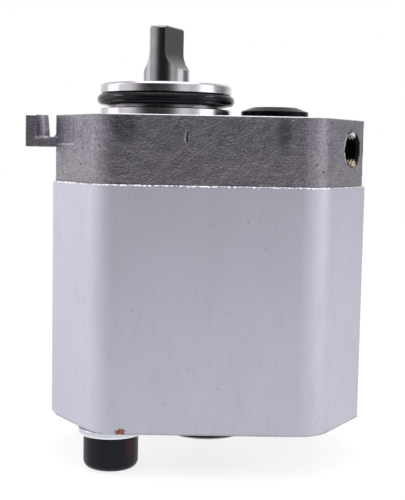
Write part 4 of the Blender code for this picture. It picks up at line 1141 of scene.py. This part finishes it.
class PUMP_OT_pump_body(bpy.types.Operator):
    """Build the extruded body with its bores and its ragged front edge"""

    bl_idname = "gear_pump.pump_body"
    bl_label = "Pump body"

    def execute(self, context):
        body = body_shell(context.scene.pump_sizes.burr_height)
        port = centre_of("suction_plug")
        port.z = 0.0
        cut(body, *body_bores(port))
        rim = 0.9 * ((BODY_HIGH.y - BODY_LOW.y) / 2 - TORN_MARGIN)

        def torn(face):
            """1 for the slopes at the front rim, 0 for the rest."""
            x, y, z = face.center
            reach = max(abs(y), abs(x - BODY_MIDDLE.x) * 0.8 + abs(y) * 0.6)
            return int(z > BODY_HIGH.z - TORN_DEPTH and 0.15 < face.normal.z < 0.995 and reach > rim)

        finishes = [finish_of("satin_aluminium"), finish_of("sawn_edge")]
        dress(body, "housing", ["pump_body"], finishes, torn)
        return {"FINISHED"}


# ---- Gears ----

TEETH = 12
MODULE = 2.25 * MM
PRESSURE_ANGLE = math.radians(22.5)
BACKLASH = 0.2 * MM
ROOT_DEPTH = 1.25 * MODULE
ROOT_FLARE = math.radians(1.7)
FLANK_STEPS = 8
SHAFT_EDGE, SHAFT_ROUNDING = 0.5 * MM, 0.12 * MM
TANG_HALF = 2.6 * MM
TANG_ANGLE = math.radians(-25.0)
TANG_REACH = 16 * MM
# Where each flat of the tang starts, and the round run-out of its cutter
TANG_START, TANG_RUNOUT = 20.0 * MM, 6 * MM
TANG_FAR_START, TANG_FAR_RUNOUT = 20.2 * MM, 8 * MM


def tooth_outline(phase):
    """The gear's outline in involute teeth."""
    pitch_radius = MODULE * TEETH / 2
    base = pitch_radius * math.cos(PRESSURE_ANGLE)
    tip, root = pitch_radius + MODULE, pitch_radius - ROOT_DEPTH
    half = math.pi / (2 * TEETH) - BACKLASH / (2 * pitch_radius) + math.tan(PRESSURE_ANGLE) - PRESSURE_ANGLE
    flank = []
    for i in range(FLANK_STEPS + 1):
        radius = base + (tip - base) * i / FLANK_STEPS
        roll = math.acos(min(1.0, base / radius))
        flank.append((radius, half - math.tan(roll) + roll))
    flank.insert(0, (root, flank[0][1] + ROOT_FLARE))
    outline = []
    for tooth in range(TEETH):
        middle = math.tau * tooth / TEETH + phase
        polar = [(radius, middle - width) for radius, width in flank]
        polar += [(radius, middle + width) for radius, width in reversed(flank)]
        outline += [(radius * math.cos(turn), radius * math.sin(turn)) for radius, turn in polar]
    return outline


def toothed_shaft(name, x, phase, low, high):
    """A gear and its shaft in one piece."""
    gear = prism(name, [(x + px, py) for px, py in tooth_outline(phase)], TEETH_FOOT, TEETH_TOP)
    edge, rounding = SHAFT_EDGE, SHAFT_ROUNDING
    profile = [
        (0.0, high),
        (SHAFT_RADIUS - edge - rounding, high),
        (SHAFT_RADIUS - edge, high - rounding * 0.4),
        (SHAFT_RADIUS - rounding * 0.4, high - edge),
        (SHAFT_RADIUS, high - edge - rounding),
        (SHAFT_RADIUS, low + edge),
        (SHAFT_RADIUS - edge, low),
        (0.0, low),
    ]
    return join(gear, turned(f"{name}_bar", profile, 128, (x, 0.0, 0.0)))


def tang_cutter(start, runout, turn, top):
    """Takes one flat off the shaft's end, with the round run-out of the cutter."""
    chain = [(TANG_HALF, top + OVERCUT)]
    chain += arc((TANG_HALF + runout, start), runout, math.pi, 1.5 * math.pi, 24)
    chain += [(TANG_REACH, start - runout), (TANG_REACH, top + OVERCUT)]
    tool = loft("tang_cutter", [[(x, y, z) for x, z in chain] for y in (-TANG_REACH, TANG_REACH)])
    tool.data.transform(Matrix.Rotation(turn, 4, "Z"))
    return tool


class PUMP_OT_gears(bpy.types.Operator):
    """Build the drive gear with its tang and the driven gear that meshes with it"""

    bl_idname = "gear_pump.gears"
    bl_label = "Gears"

    def execute(self, context):
        steel = [finish_of("ground_steel")]
        drive = toothed_shaft("drive_gear_shaft", 0.0, 0.0, SHAFT_LOW.z, SHAFT_HIGH.z)
        near = tang_cutter(TANG_START, TANG_RUNOUT, TANG_ANGLE, SHAFT_HIGH.z)
        far = tang_cutter(TANG_FAR_START, TANG_FAR_RUNOUT, TANG_ANGLE + math.pi, SHAFT_HIGH.z)
        cut(drive, near, far)
        dress(drive, "drive_shaft", ["drive_gear"], steel)
        driven = toothed_shaft("driven_gear_shaft", IDLER_X, math.pi / TEETH, IDLER_LOW.z, IDLER_HIGH.z)
        dress(driven, "idler_shaft", ["driven_gear"], steel)
        return {"FINISHED"}


# ---- Bearings, seals and rings ----


class PUMP_OT_bearings(bpy.types.Operator):
    """Finish the bearing blocks, their bushes and the shaped seals behind them"""

    bl_idname = "gear_pump.bearings"
    bl_label = "Bearings"

    def execute(self, context):
        ends = ("front", "rear")
        refinish(finish_of("satin_aluminium"), *(f"{end}_bearing_block" for end in ends))
        bushes = [f"{end}_{shaft}_bush" for end in ends for shaft in ("drive", "driven")]
        refinish(finish_of("bearing_bronze"), *bushes)
        refinish(finish_of("oiled_rubber"), *(f"{end}_pressure_seal" for end in ends), "cover_seal")
        refinish(finish_of("ivory_plastic"), *(f"{end}_seal_backup" for end in ends))
        refinish(finish_of("ground_steel"), "dowel_a", "dowel_b")
        return {"FINISHED"}


FLASH = 0.03 * MM


def torus(name, ring_radius, cord, z, steps=160, around=28):
    """An O-ring with the fine flash line of its mould."""
    rings = []
    for i in range(steps):
        turn = math.tau * i / steps
        ring = []
        for k in range(around):
            wind = math.tau * k / around
            flash = 0.0 if k % (around // 2) else FLASH
            reach = ring_radius + (cord - FLASH + flash) * math.cos(wind)
            ring.append((reach * math.cos(turn), reach * math.sin(turn), z + (cord - FLASH) * math.sin(wind)))
        rings.append(ring)
    return loft(name, rings, closed=True)


class PUMP_OT_spigot_ring(bpy.types.Operator):
    """Build the O-ring in the groove of the spigot"""

    bl_idname = "gear_pump.spigot_ring"
    bl_label = "Spigot O-ring"

    def execute(self, context):
        cord = (RING_HIGH.z - RING_LOW.z) / 2
        middle = (RING_LOW.z + RING_HIGH.z) / 2
        ring = torus("pilot_o_ring", RING_HIGH.x - cord, cord, middle)
        dress(ring, "housing", ["spigot_o_ring"], [finish_of("oiled_rubber")])
        return {"FINISHED"}


SEAL_WALL = 1.2 * MM
LIP_LENGTH = 4.2 * MM
WIRE_RADIUS = 0.16 * MM
COILS, STEPS_PER_COIL, WIRE_SIDES = 72, 10, 6
CLIP_GAP = math.radians(25.0)
CLIP_STEPS = 72
CLIP_WIDTH, CLIP_SWELL = 1.5 * MM, 0.8 * MM
# The ears of the retaining ring: how far each runs from the gap in radians, and how wide it is
EAR_REACH, EAR_WIDTH = 0.27, 3.1 * MM
NECK_REACH, NECK_WIDTH = 0.34, 2.2 * MM
EAR_HOLE_RADIUS, EAR_HOLE_INSET = 0.75 * MM, 1.75 * MM


def lip_seal():
    """The seal's outer case, its web, and the lip that leans on the shaft."""
    outer, low, high = SEAL_HIGH.x, SEAL_LOW.z, SEAL_HIGH.z
    lip = SHAFT_RADIUS + CLEARANCE
    profile = [
        (outer - 0.5 * MM, high),
        (outer, high - 0.5 * MM),
        (outer, low + 0.4 * MM),
        (outer - 0.4 * MM, low),
        (outer - SEAL_WALL, low),
        (outer - SEAL_WALL, high - SEAL_WALL),
        (lip + SEAL_WALL, high - SEAL_WALL),
        (lip + SEAL_WALL, low + LIP_LENGTH),
        (lip, low + LIP_LENGTH),
        (lip, high - 1.6 * MM),
        (lip + 0.7 * MM, high - 1.0 * MM),
        (lip + 0.15 * MM, high - 0.1 * MM),
        (lip + 0.5 * MM, high),
        (lip + 1.4 * MM, high - 0.45 * MM),
        (outer - 2.4 * MM, high - 0.45 * MM),
        (outer - 2.0 * MM, high),
    ]
    return turned("lip_seal", profile, 128)


def garter_spring():
    """A fine wire wound round a ring."""
    low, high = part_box("seal_spring")
    cord = (high.z - low.z) / 2
    ring_radius, middle, coil = high.x - cord, (low.z + high.z) / 2, cord - WIRE_RADIUS
    total = COILS * STEPS_PER_COIL

    def point(i):
        turn, wind = math.tau * i / total, math.tau * i / STEPS_PER_COIL
        reach = ring_radius + coil * math.cos(wind)
        return Vector((reach * math.cos(turn), reach * math.sin(turn), middle + coil * math.sin(wind)))

    turns = [math.tau * k / WIRE_SIDES for k in range(WIRE_SIDES)]
    rings = []
    for i in range(total):
        along = (point(i + 1) - point(i - 1)).normalized()
        side = along.cross(Vector((0.0, 0.0, 1.0))).normalized()
        up = side.cross(along)
        rings.append([point(i) + (side * math.cos(t) + up * math.sin(t)) * WIRE_RADIUS for t in turns])
    return loft("garter_spring", rings, closed=True)


def retaining_ring():
    """A ring that is wider opposite its gap, with a holed ear at each end."""
    outer = (CLIP_HIGH.y - CLIP_LOW.y) / 2
    bottom, top = CLIP_LOW.z, CLIP_HIGH.z
    inside = []
    for i in range(CLIP_STEPS + 1):
        turn = math.tau - CLIP_GAP - (math.tau - 2 * CLIP_GAP) * i / CLIP_STEPS
        width = CLIP_WIDTH + CLIP_SWELL * (0.5 - 0.5 * math.cos(turn))
        from_end = min(turn - CLIP_GAP, math.tau - CLIP_GAP - turn)
        if from_end < EAR_REACH:
            width = EAR_WIDTH
        elif from_end < NECK_REACH:
            width = NECK_WIDTH
        inside.append(((outer - width) * math.cos(turn), (outer - width) * math.sin(turn)))
    outside = arc((0.0, 0.0), outer, CLIP_GAP, math.tau - CLIP_GAP, CLIP_STEPS)
    ring = prism("retaining_ring", outside + inside, bottom, top)
    reach = outer - EAR_HOLE_INSET
    tools = []
    for sign in (1, -1):
        turn = sign * (CLIP_GAP + EAR_REACH / 2)
        at = Vector((reach * math.cos(turn), reach * math.sin(turn), 0.0))
        tools.append(drill(f"ear_hole_{sign}", at, EAR_HOLE_RADIUS, bottom - OVERCUT, top + OVERCUT, 24))
    return cut(ring, *tools)


class PUMP_OT_shaft_seal(bpy.types.Operator):
    """Build the lip seal, its garter spring and the retaining ring above it"""

    bl_idname = "gear_pump.shaft_seal"
    bl_label = "Shaft seal"

    def execute(self, context):
        dress(lip_seal(), "housing", ["shaft_seal"], [finish_of("oiled_rubber")])
        dress(garter_spring(), "housing", ["seal_spring"], [finish_of("ground_steel")])
        dress(retaining_ring(), "housing", ["seal_retaining_ring"], [finish_of("ground_steel")])
        return {"FINISHED"}


# ---- Fasteners and plugs ----

HEAD_RADIUS, SHANK_RADIUS = 8 * MM, 5 * MM
HEAD_ROUNDING = 2.3 * MM
SHANK_CHAMFER = 1.0 * MM
KEY_SIZE, SOCKET_DEPTH = 8 * MM, 5 * MM
SOCKET_BEVEL = 0.45 * MM
WASHER_BORE_RADIUS = 5.5 * MM
WASHER_EDGE = 0.1 * MM
PLUG_HEIGHT, FLANGE_THICKNESS = 3.4 * MM, 2.15 * MM
CROWN_INSET = 3.4 * MM
STEM_LENGTH, STEM_WALL, STEM_GAP = 7 * MM, 1.4 * MM, 0.75 * MM


def screw(name, at, low, high, head_top):
    """A socket-head screw, head down, with its rounded end, the socket's chamfer and its drill point."""
    head, shank = HEAD_RADIUS, SHANK_RADIUS
    profile = [
        (0.0, high),
        (shank - SHANK_CHAMFER, high),
        (shank, high - SHANK_CHAMFER),
        (shank, head_top + 0.1 * MM),
        (head - 0.5 * MM, head_top),
        (head - 0.1 * MM, head_top - 0.12 * MM),
        (head, head_top - 0.5 * MM),
        *arc((head - HEAD_ROUNDING, low + HEAD_ROUNDING), HEAD_ROUNDING, 0.0, -math.pi / 2, 10),
        (0.0, low),
    ]
    piece = turned(name, profile, 96, (at.x, at.y, 0.0))
    foot = low + SOCKET_DEPTH
    hexagon = arc((at.x, at.y), KEY_SIZE / math.sqrt(3), 0.0, math.tau, 6)[:-1]
    socket = prism(f"{name}_socket", hexagon, low - OVERCUT, foot)
    point = drill(f"{name}_point", at, 3.6 * MM, foot - 0.5 * MM, foot + 1.6 * MM, 48, 1.8 * MM)
    bevel = [
        (0.0, low + SOCKET_BEVEL),
        (KEY_SIZE / 2, low + SOCKET_BEVEL),
        (KEY_SIZE / 2 + SOCKET_BEVEL + OVERCUT / 2, low - OVERCUT / 2),
        (0.0, low - OVERCUT / 2),
    ]
    return cut(piece, socket, point, turned(f"{name}_mouth", bevel, 48, (at.x, at.y, 0.0)))


def washer(name, at):
    """A punched ring with soft edges."""
    outer, bore, edge = (WASHER_HIGH.x - WASHER_LOW.x) / 2, WASHER_BORE_RADIUS, WASHER_EDGE
    low, high = WASHER_LOW.z, BODY_LOW.z - FACE_GAP
    profile = [
        (outer - 0.12 * MM, high),
        (outer, high - 0.12 * MM),
        (outer, low + 0.3 * MM),
        (outer - 0.06 * MM, low + edge),
        (outer - 0.22 * MM, low),
        (bore + edge, low),
        (bore, low + edge),
        (bore, high - edge),
        (bore + edge, high),
    ]
    return turned(name, profile, 96, (at.x, at.y, 0.0))


class PUMP_OT_cap_screws(bpy.types.Operator):
    """Build the two cap screws and their washers"""

    bl_idname = "gear_pump.cap_screws"
    bl_label = "Cap screws"

    def execute(self, context):
        for letter in "ab":
            at = centre_of(f"cap_screw_{letter}")
            piece = screw(f"socket_screw_{letter}", at, SCREW_LOW.z, SCREW_HIGH.z, WASHER_LOW.z - SEAT_GAP)
            dress(piece, "housing", [f"cap_screw_{letter}"], [finish_of("black_oxide")])
            plain = washer(f"plain_washer_{letter}", at)
            dress(plain, "housing", [f"washer_{letter}"], [finish_of("bright_zinc")])
        return {"FINISHED"}


def plug(name, node, up, port_radius):
    """A push-in transit plug: flange, low crown, hollow stem with one ridge. It faces up or down."""
    low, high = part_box(node)
    at, flange = (low + high) / 2, (high.x - low.x) / 2
    seat = (high.z if up > 0 else low.z) - up * PLUG_HEIGHT
    crown, stem = flange - CROWN_INSET, port_radius - STEM_GAP
    profile = [
        (0.0, PLUG_HEIGHT),
        (crown - 0.2 * MM, PLUG_HEIGHT),
        (crown + 0.1 * MM, PLUG_HEIGHT - 0.05 * MM),
        (flange - 0.3 * MM, FLANGE_THICKNESS + 0.04 * MM),
        (flange, FLANGE_THICKNESS - 0.1 * MM),
        (flange, 0.2 * MM),
        (flange - 0.2 * MM, 0.0),
        (stem, 0.0),
        (stem, -2.8 * MM),
        (stem + 0.5 * MM, -3.3 * MM),
        (stem + 0.6 * MM, -3.5 * MM),
        (stem, -4.2 * MM),
        (stem - 0.3 * MM, -STEM_LENGTH + 0.3 * MM),
        (stem - 0.6 * MM, -STEM_LENGTH),
        (stem - STEM_WALL, -STEM_LENGTH),
        (stem - STEM_WALL, FLANGE_THICKNESS / 2),
        (0.0, FLANGE_THICKNESS / 2),
    ]
    return turned(name, profile, 112, (at.x, at.y, seat), (0.0, 0.0, up))


class PUMP_OT_plugs(bpy.types.Operator):
    """Build the transit plugs of both ports"""

    bl_idname = "gear_pump.plugs"
    bl_label = "Transit plugs"

    def execute(self, context):
        plastic = [finish_of("glossy_plastic")]
        top = plug("top_plug", "pressure_plug", 1.0, PRESSURE_PORT_RADIUS)
        dress(top, "housing", ["pressure_plug"], plastic)
        rear = plug("rear_plug", "suction_plug", -1.0, SUCTION_PORT_RADIUS)
        dress(rear, "housing", ["suction_plug"], plastic)
        return {"FINISHED"}


# ---- Stage ----

# The grey light tent: bearing from the camera's side in degrees, and how bright the wall is there
STUDIO_RING = (
    (-180.0, 0.80), (-150.0, 0.85), (-130.0, 0.80), (-110.0, 0.78), (-88.0, 0.80), (-74.0, 0.92),
    (-64.0, 0.80), (-56.0, 0.58), (-48.0, 0.30), (-40.0, 0.10), (-32.0, 0.04), (-20.0, 0.035),
    (-4.0, 0.04), (8.0, 0.08), (17.0, 0.32), (26.0, 0.76), (36.0, 0.84), (47.0, 0.58),
    (58.0, 0.80), (72.0, 0.90), (86.0, 0.84), (100.0, 0.46), (116.0, 0.24), (132.0, 0.50),
    (146.0, 0.85), (164.0, 0.90), (180.0, 0.80),
)
STUDIO_STRENGTH = 1.05
CEILING = (0.72, 0.72, 0.73)
# How far up the walls pass into the ceiling, and how far back the white background shows in metal
CEILING_STOPS = ((0.0, 0.0), (0.42, 0.0), (0.8, 1.0), (1.0, 1.0))
BEHIND_STOPS = ((0.0, 0.0), (0.9, 0.0), (0.97, 1.0), (1.0, 1.0))

FLOOR_REACH = 4.0
FLOOR_FRONT = -0.8
FLOOR_GAP = 0.2 * MM
FLOOR_COLOUR = 0.8
FLOOR_SHADOW = 0.24
FLOOR_GLOW = 0.83

# Lamps: name, bearing from the camera's side in degrees, rise, distance, width, height, power property
LAMPS = (
    ("left_lamp", -104.0, 0.12, 0.9, 0.5, 0.9, "side_power"),
    ("right_lamp", 76.0, 0.12, 0.9, 0.5, 0.9, "side_power"),
    ("high_left_lamp", -98.0, 0.72, 0.75, 0.34, 0.1, "high_power"),
    ("high_right_lamp", 97.0, 0.95, 0.75, 0.34, 0.1, "high_power"),
)
TOP_LAMP_OFFSET = Vector((0.0, -0.05, 0.8))
TOP_LAMP_SIZE = (0.8, 0.7)


def add_lamp(name, place, target, width, height, energy):
    """A soft rectangular lamp that looks at a point and isn't seen by the camera."""
    light = bpy.data.lights.new(name, "AREA")
    light.shape = "RECTANGLE"
    light.size, light.size_y = width, height
    light.energy = energy
    obj = link(name, light)
    obj.location = place
    obj.rotation_mode = "QUATERNION"
    obj.rotation_quaternion = (target - place).to_track_quat("-Z", "Y")
    obj.visible_camera = False


def floor_finish():
    """White where the camera or a mirror sees it, pale where it throws light back, clear from below."""
    material = bpy.data.materials.new("pale_floor")
    material.use_nodes = True
    material.node_tree.nodes.clear()
    nodes = Nodes(material.node_tree)
    rays, side = nodes.add("ShaderNodeLightPath"), nodes.add("ShaderNodeNewGeometry")
    bounce, shadowed = nodes.add("ShaderNodeBsdfDiffuse"), nodes.add("ShaderNodeBsdfDiffuse")
    bounce.inputs["Color"].default_value = (FLOOR_COLOUR, FLOOR_COLOUR, FLOOR_COLOUR, 1.0)
    shadowed.inputs["Color"].default_value = (FLOOR_SHADOW, FLOOR_SHADOW, FLOOR_SHADOW, 1.0)
    glow = nodes.add("ShaderNodeEmission")
    glow.inputs["Strength"].default_value = FLOOR_GLOW
    white = nodes.add("ShaderNodeAddShader")
    nodes.wire(glow.outputs[0], white.inputs[0])
    nodes.wire(shadowed.outputs[0], white.inputs[1])
    looked_at = nodes.most(*(rays.outputs[f"Is {kind} Ray"] for kind in ("Camera", "Glossy", "Transmission")))
    top = nodes.mix_shaders(looked_at, bounce, white)
    clear = nodes.add("ShaderNodeBsdfTransparent")
    nodes.show(nodes.mix_shaders(side.outputs["Backfacing"], top, clear), "Material")
    return material


def add_floor():
    """A pale table top that shows white and keeps a soft shadow."""
    z = CAD_LOW.z - FLOOR_GAP
    left, right, front, back = -FLOOR_REACH, FLOOR_REACH, FLOOR_FRONT, FLOOR_REACH
    bm = bmesh.new()
    corners = ((left, front), (right, front), (right, back), (left, back))
    bm.faces.new([bm.verts.new((x, y, z)) for x, y in corners])
    mesh = bpy.data.meshes.new("floor")
    bm.to_mesh(mesh)
    bm.free()
    mesh.materials.append(floor_finish())
    link("floor", mesh)


def add_surroundings():
    """A white background, and a grey light tent that metal mirrors."""
    world = bpy.data.worlds.new("studio")
    bpy.context.scene.world = world
    world.use_nodes = True
    world.node_tree.nodes.clear()
    nodes = Nodes(world.node_tree)
    rays, place = nodes.add("ShaderNodeLightPath"), nodes.add("ShaderNodeTexCoord")
    split = nodes.add("ShaderNodeSeparateXYZ")
    nodes.wire(place.outputs["Generated"], split.inputs[0])
    x, y, z = split.outputs
    bearing = nodes.maths("ARCTAN2", x, nodes.maths("MULTIPLY", y, -1.0))
    round_about = nodes.maths("ADD", nodes.maths("DIVIDE", bearing, math.tau), 0.5)
    walls = nodes.ramp(round_about, [(0.5 + turn / 360.0, grey) for turn, grey in STUDIO_RING])
    tent = nodes.add("ShaderNodeMix", data_type="RGBA")
    nodes.wire(nodes.ramp(z, CEILING_STOPS), tent.inputs["Factor"])
    nodes.wire(walls, tent.inputs[6])
    nodes.wire((*CEILING, 1.0), tent.inputs[7])
    white, studio = nodes.add("ShaderNodeBackground"), nodes.add("ShaderNodeBackground")
    white.inputs["Color"].default_value = (1.0, 1.0, 1.0, 1.0)
    studio.inputs["Strength"].default_value = STUDIO_STRENGTH
    nodes.wire(tent.outputs[2], studio.inputs["Color"])
    mirrored = nodes.most(rays.outputs["Is Glossy Ray"], rays.outputs["Is Transmission Ray"])
    mirrored = nodes.product(mirrored, nodes.ramp(y, BEHIND_STOPS))
    looked_at = nodes.most(rays.outputs["Is Camera Ray"], mirrored)
    nodes.show(nodes.mix_shaders(looked_at, studio, white), "World")


def add_camera(stage):
    """The camera, turned by pitch, yaw and roll from a level look along +Y."""
    data = bpy.data.cameras.new("camera")
    data.lens = stage.lens
    data.sensor_width = 36.0
    data.clip_start, data.clip_end = 0.01, 50.0
    obj = link("camera", data)
    yaw, pitch, roll = stage.yaw, stage.pitch, stage.roll
    forward = Vector((math.sin(yaw) * math.cos(pitch), math.cos(yaw) * math.cos(pitch), -math.sin(pitch)))
    level = Vector((math.cos(yaw), -math.sin(yaw), 0.0))
    upright = level.cross(forward)
    right = level * math.cos(roll) + upright * math.sin(roll)
    up = upright * math.cos(roll) - level * math.sin(roll)
    turn = Matrix((right, up, -forward)).transposed().to_4x4()
    obj.matrix_world = Matrix.Translation(Vector(stage.camera_place)) @ turn
    bpy.context.scene.camera = obj


class PUMP_OT_stage(bpy.types.Operator):
    """Set up the floor, the lamps, the background and the camera"""

    bl_idname = "gear_pump.stage"
    bl_label = "Stage"

    def execute(self, context):
        stage = context.scene.pump_stage
        target = (CAD_LOW + CAD_HIGH) / 2
        add_floor()
        add_surroundings()
        for name, bearing, rise, distance, width, height, setting in LAMPS:
            turn = math.radians(bearing)
            place = target + Vector((math.sin(turn), -math.cos(turn), rise)) * distance
            add_lamp(name, place, target, width, height, getattr(stage, setting))
        add_lamp("top_lamp", target + TOP_LAMP_OFFSET, target, *TOP_LAMP_SIZE, stage.top_power)
        add_camera(stage)
        context.scene.view_settings.view_transform = "Standard"
        return {"FINISHED"}


PIECES = (
    PUMP_OT_front_cover,
    PUMP_OT_pump_body,
    PUMP_OT_gears,
    PUMP_OT_bearings,
    PUMP_OT_spigot_ring,
    PUMP_OT_shaft_seal,
    PUMP_OT_cap_screws,
    PUMP_OT_plugs,
    PUMP_OT_stage,
)


class PUMP_PT_sidebar(bpy.types.Panel):
    """Sizes, colours and the pieces of the gear pump"""

    bl_idname = "PUMP_PT_sidebar"
    bl_label = "Gear pump"
    bl_space_type = "VIEW_3D"
    bl_region_type = "UI"
    bl_category = "Gear pump"

    def draw(self, context):
        scene = context.scene
        for group in (scene.pump_sizes, scene.pump_colours, scene.pump_stage):
            box = self.layout.box()
            for name in group.__annotations__:
                box.prop(group, name)
        for piece in PIECES:
            self.layout.operator(piece.bl_idname)


CLASSES = (PumpSizes, PumpColours, PumpStage, *PIECES, PUMP_PT_sidebar)


def register():
    for cls in CLASSES:
        bpy.utils.register_class(cls)
    bpy.types.Scene.pump_sizes = bpy.props.PointerProperty(type=PumpSizes)
    bpy.types.Scene.pump_colours = bpy.props.PointerProperty(type=PumpColours)
    bpy.types.Scene.pump_stage = bpy.props.PointerProperty(type=PumpStage)


def unregister():
    del bpy.types.Scene.pump_stage
    del bpy.types.Scene.pump_colours
    del bpy.types.Scene.pump_sizes
    for cls in reversed(CLASSES):
        bpy.utils.unregister_class(cls)


def main():
    register()
    bpy.ops.gear_pump.front_cover()
    bpy.ops.gear_pump.pump_body()
    bpy.ops.gear_pump.gears()
    bpy.ops.gear_pump.bearings()
    bpy.ops.gear_pump.spigot_ring()
    bpy.ops.gear_pump.shaft_seal()
    bpy.ops.gear_pump.cap_screws()
    bpy.ops.gear_pump.plugs()
    bpy.ops.gear_pump.stage()


if __name__ == "__main__":
    main()
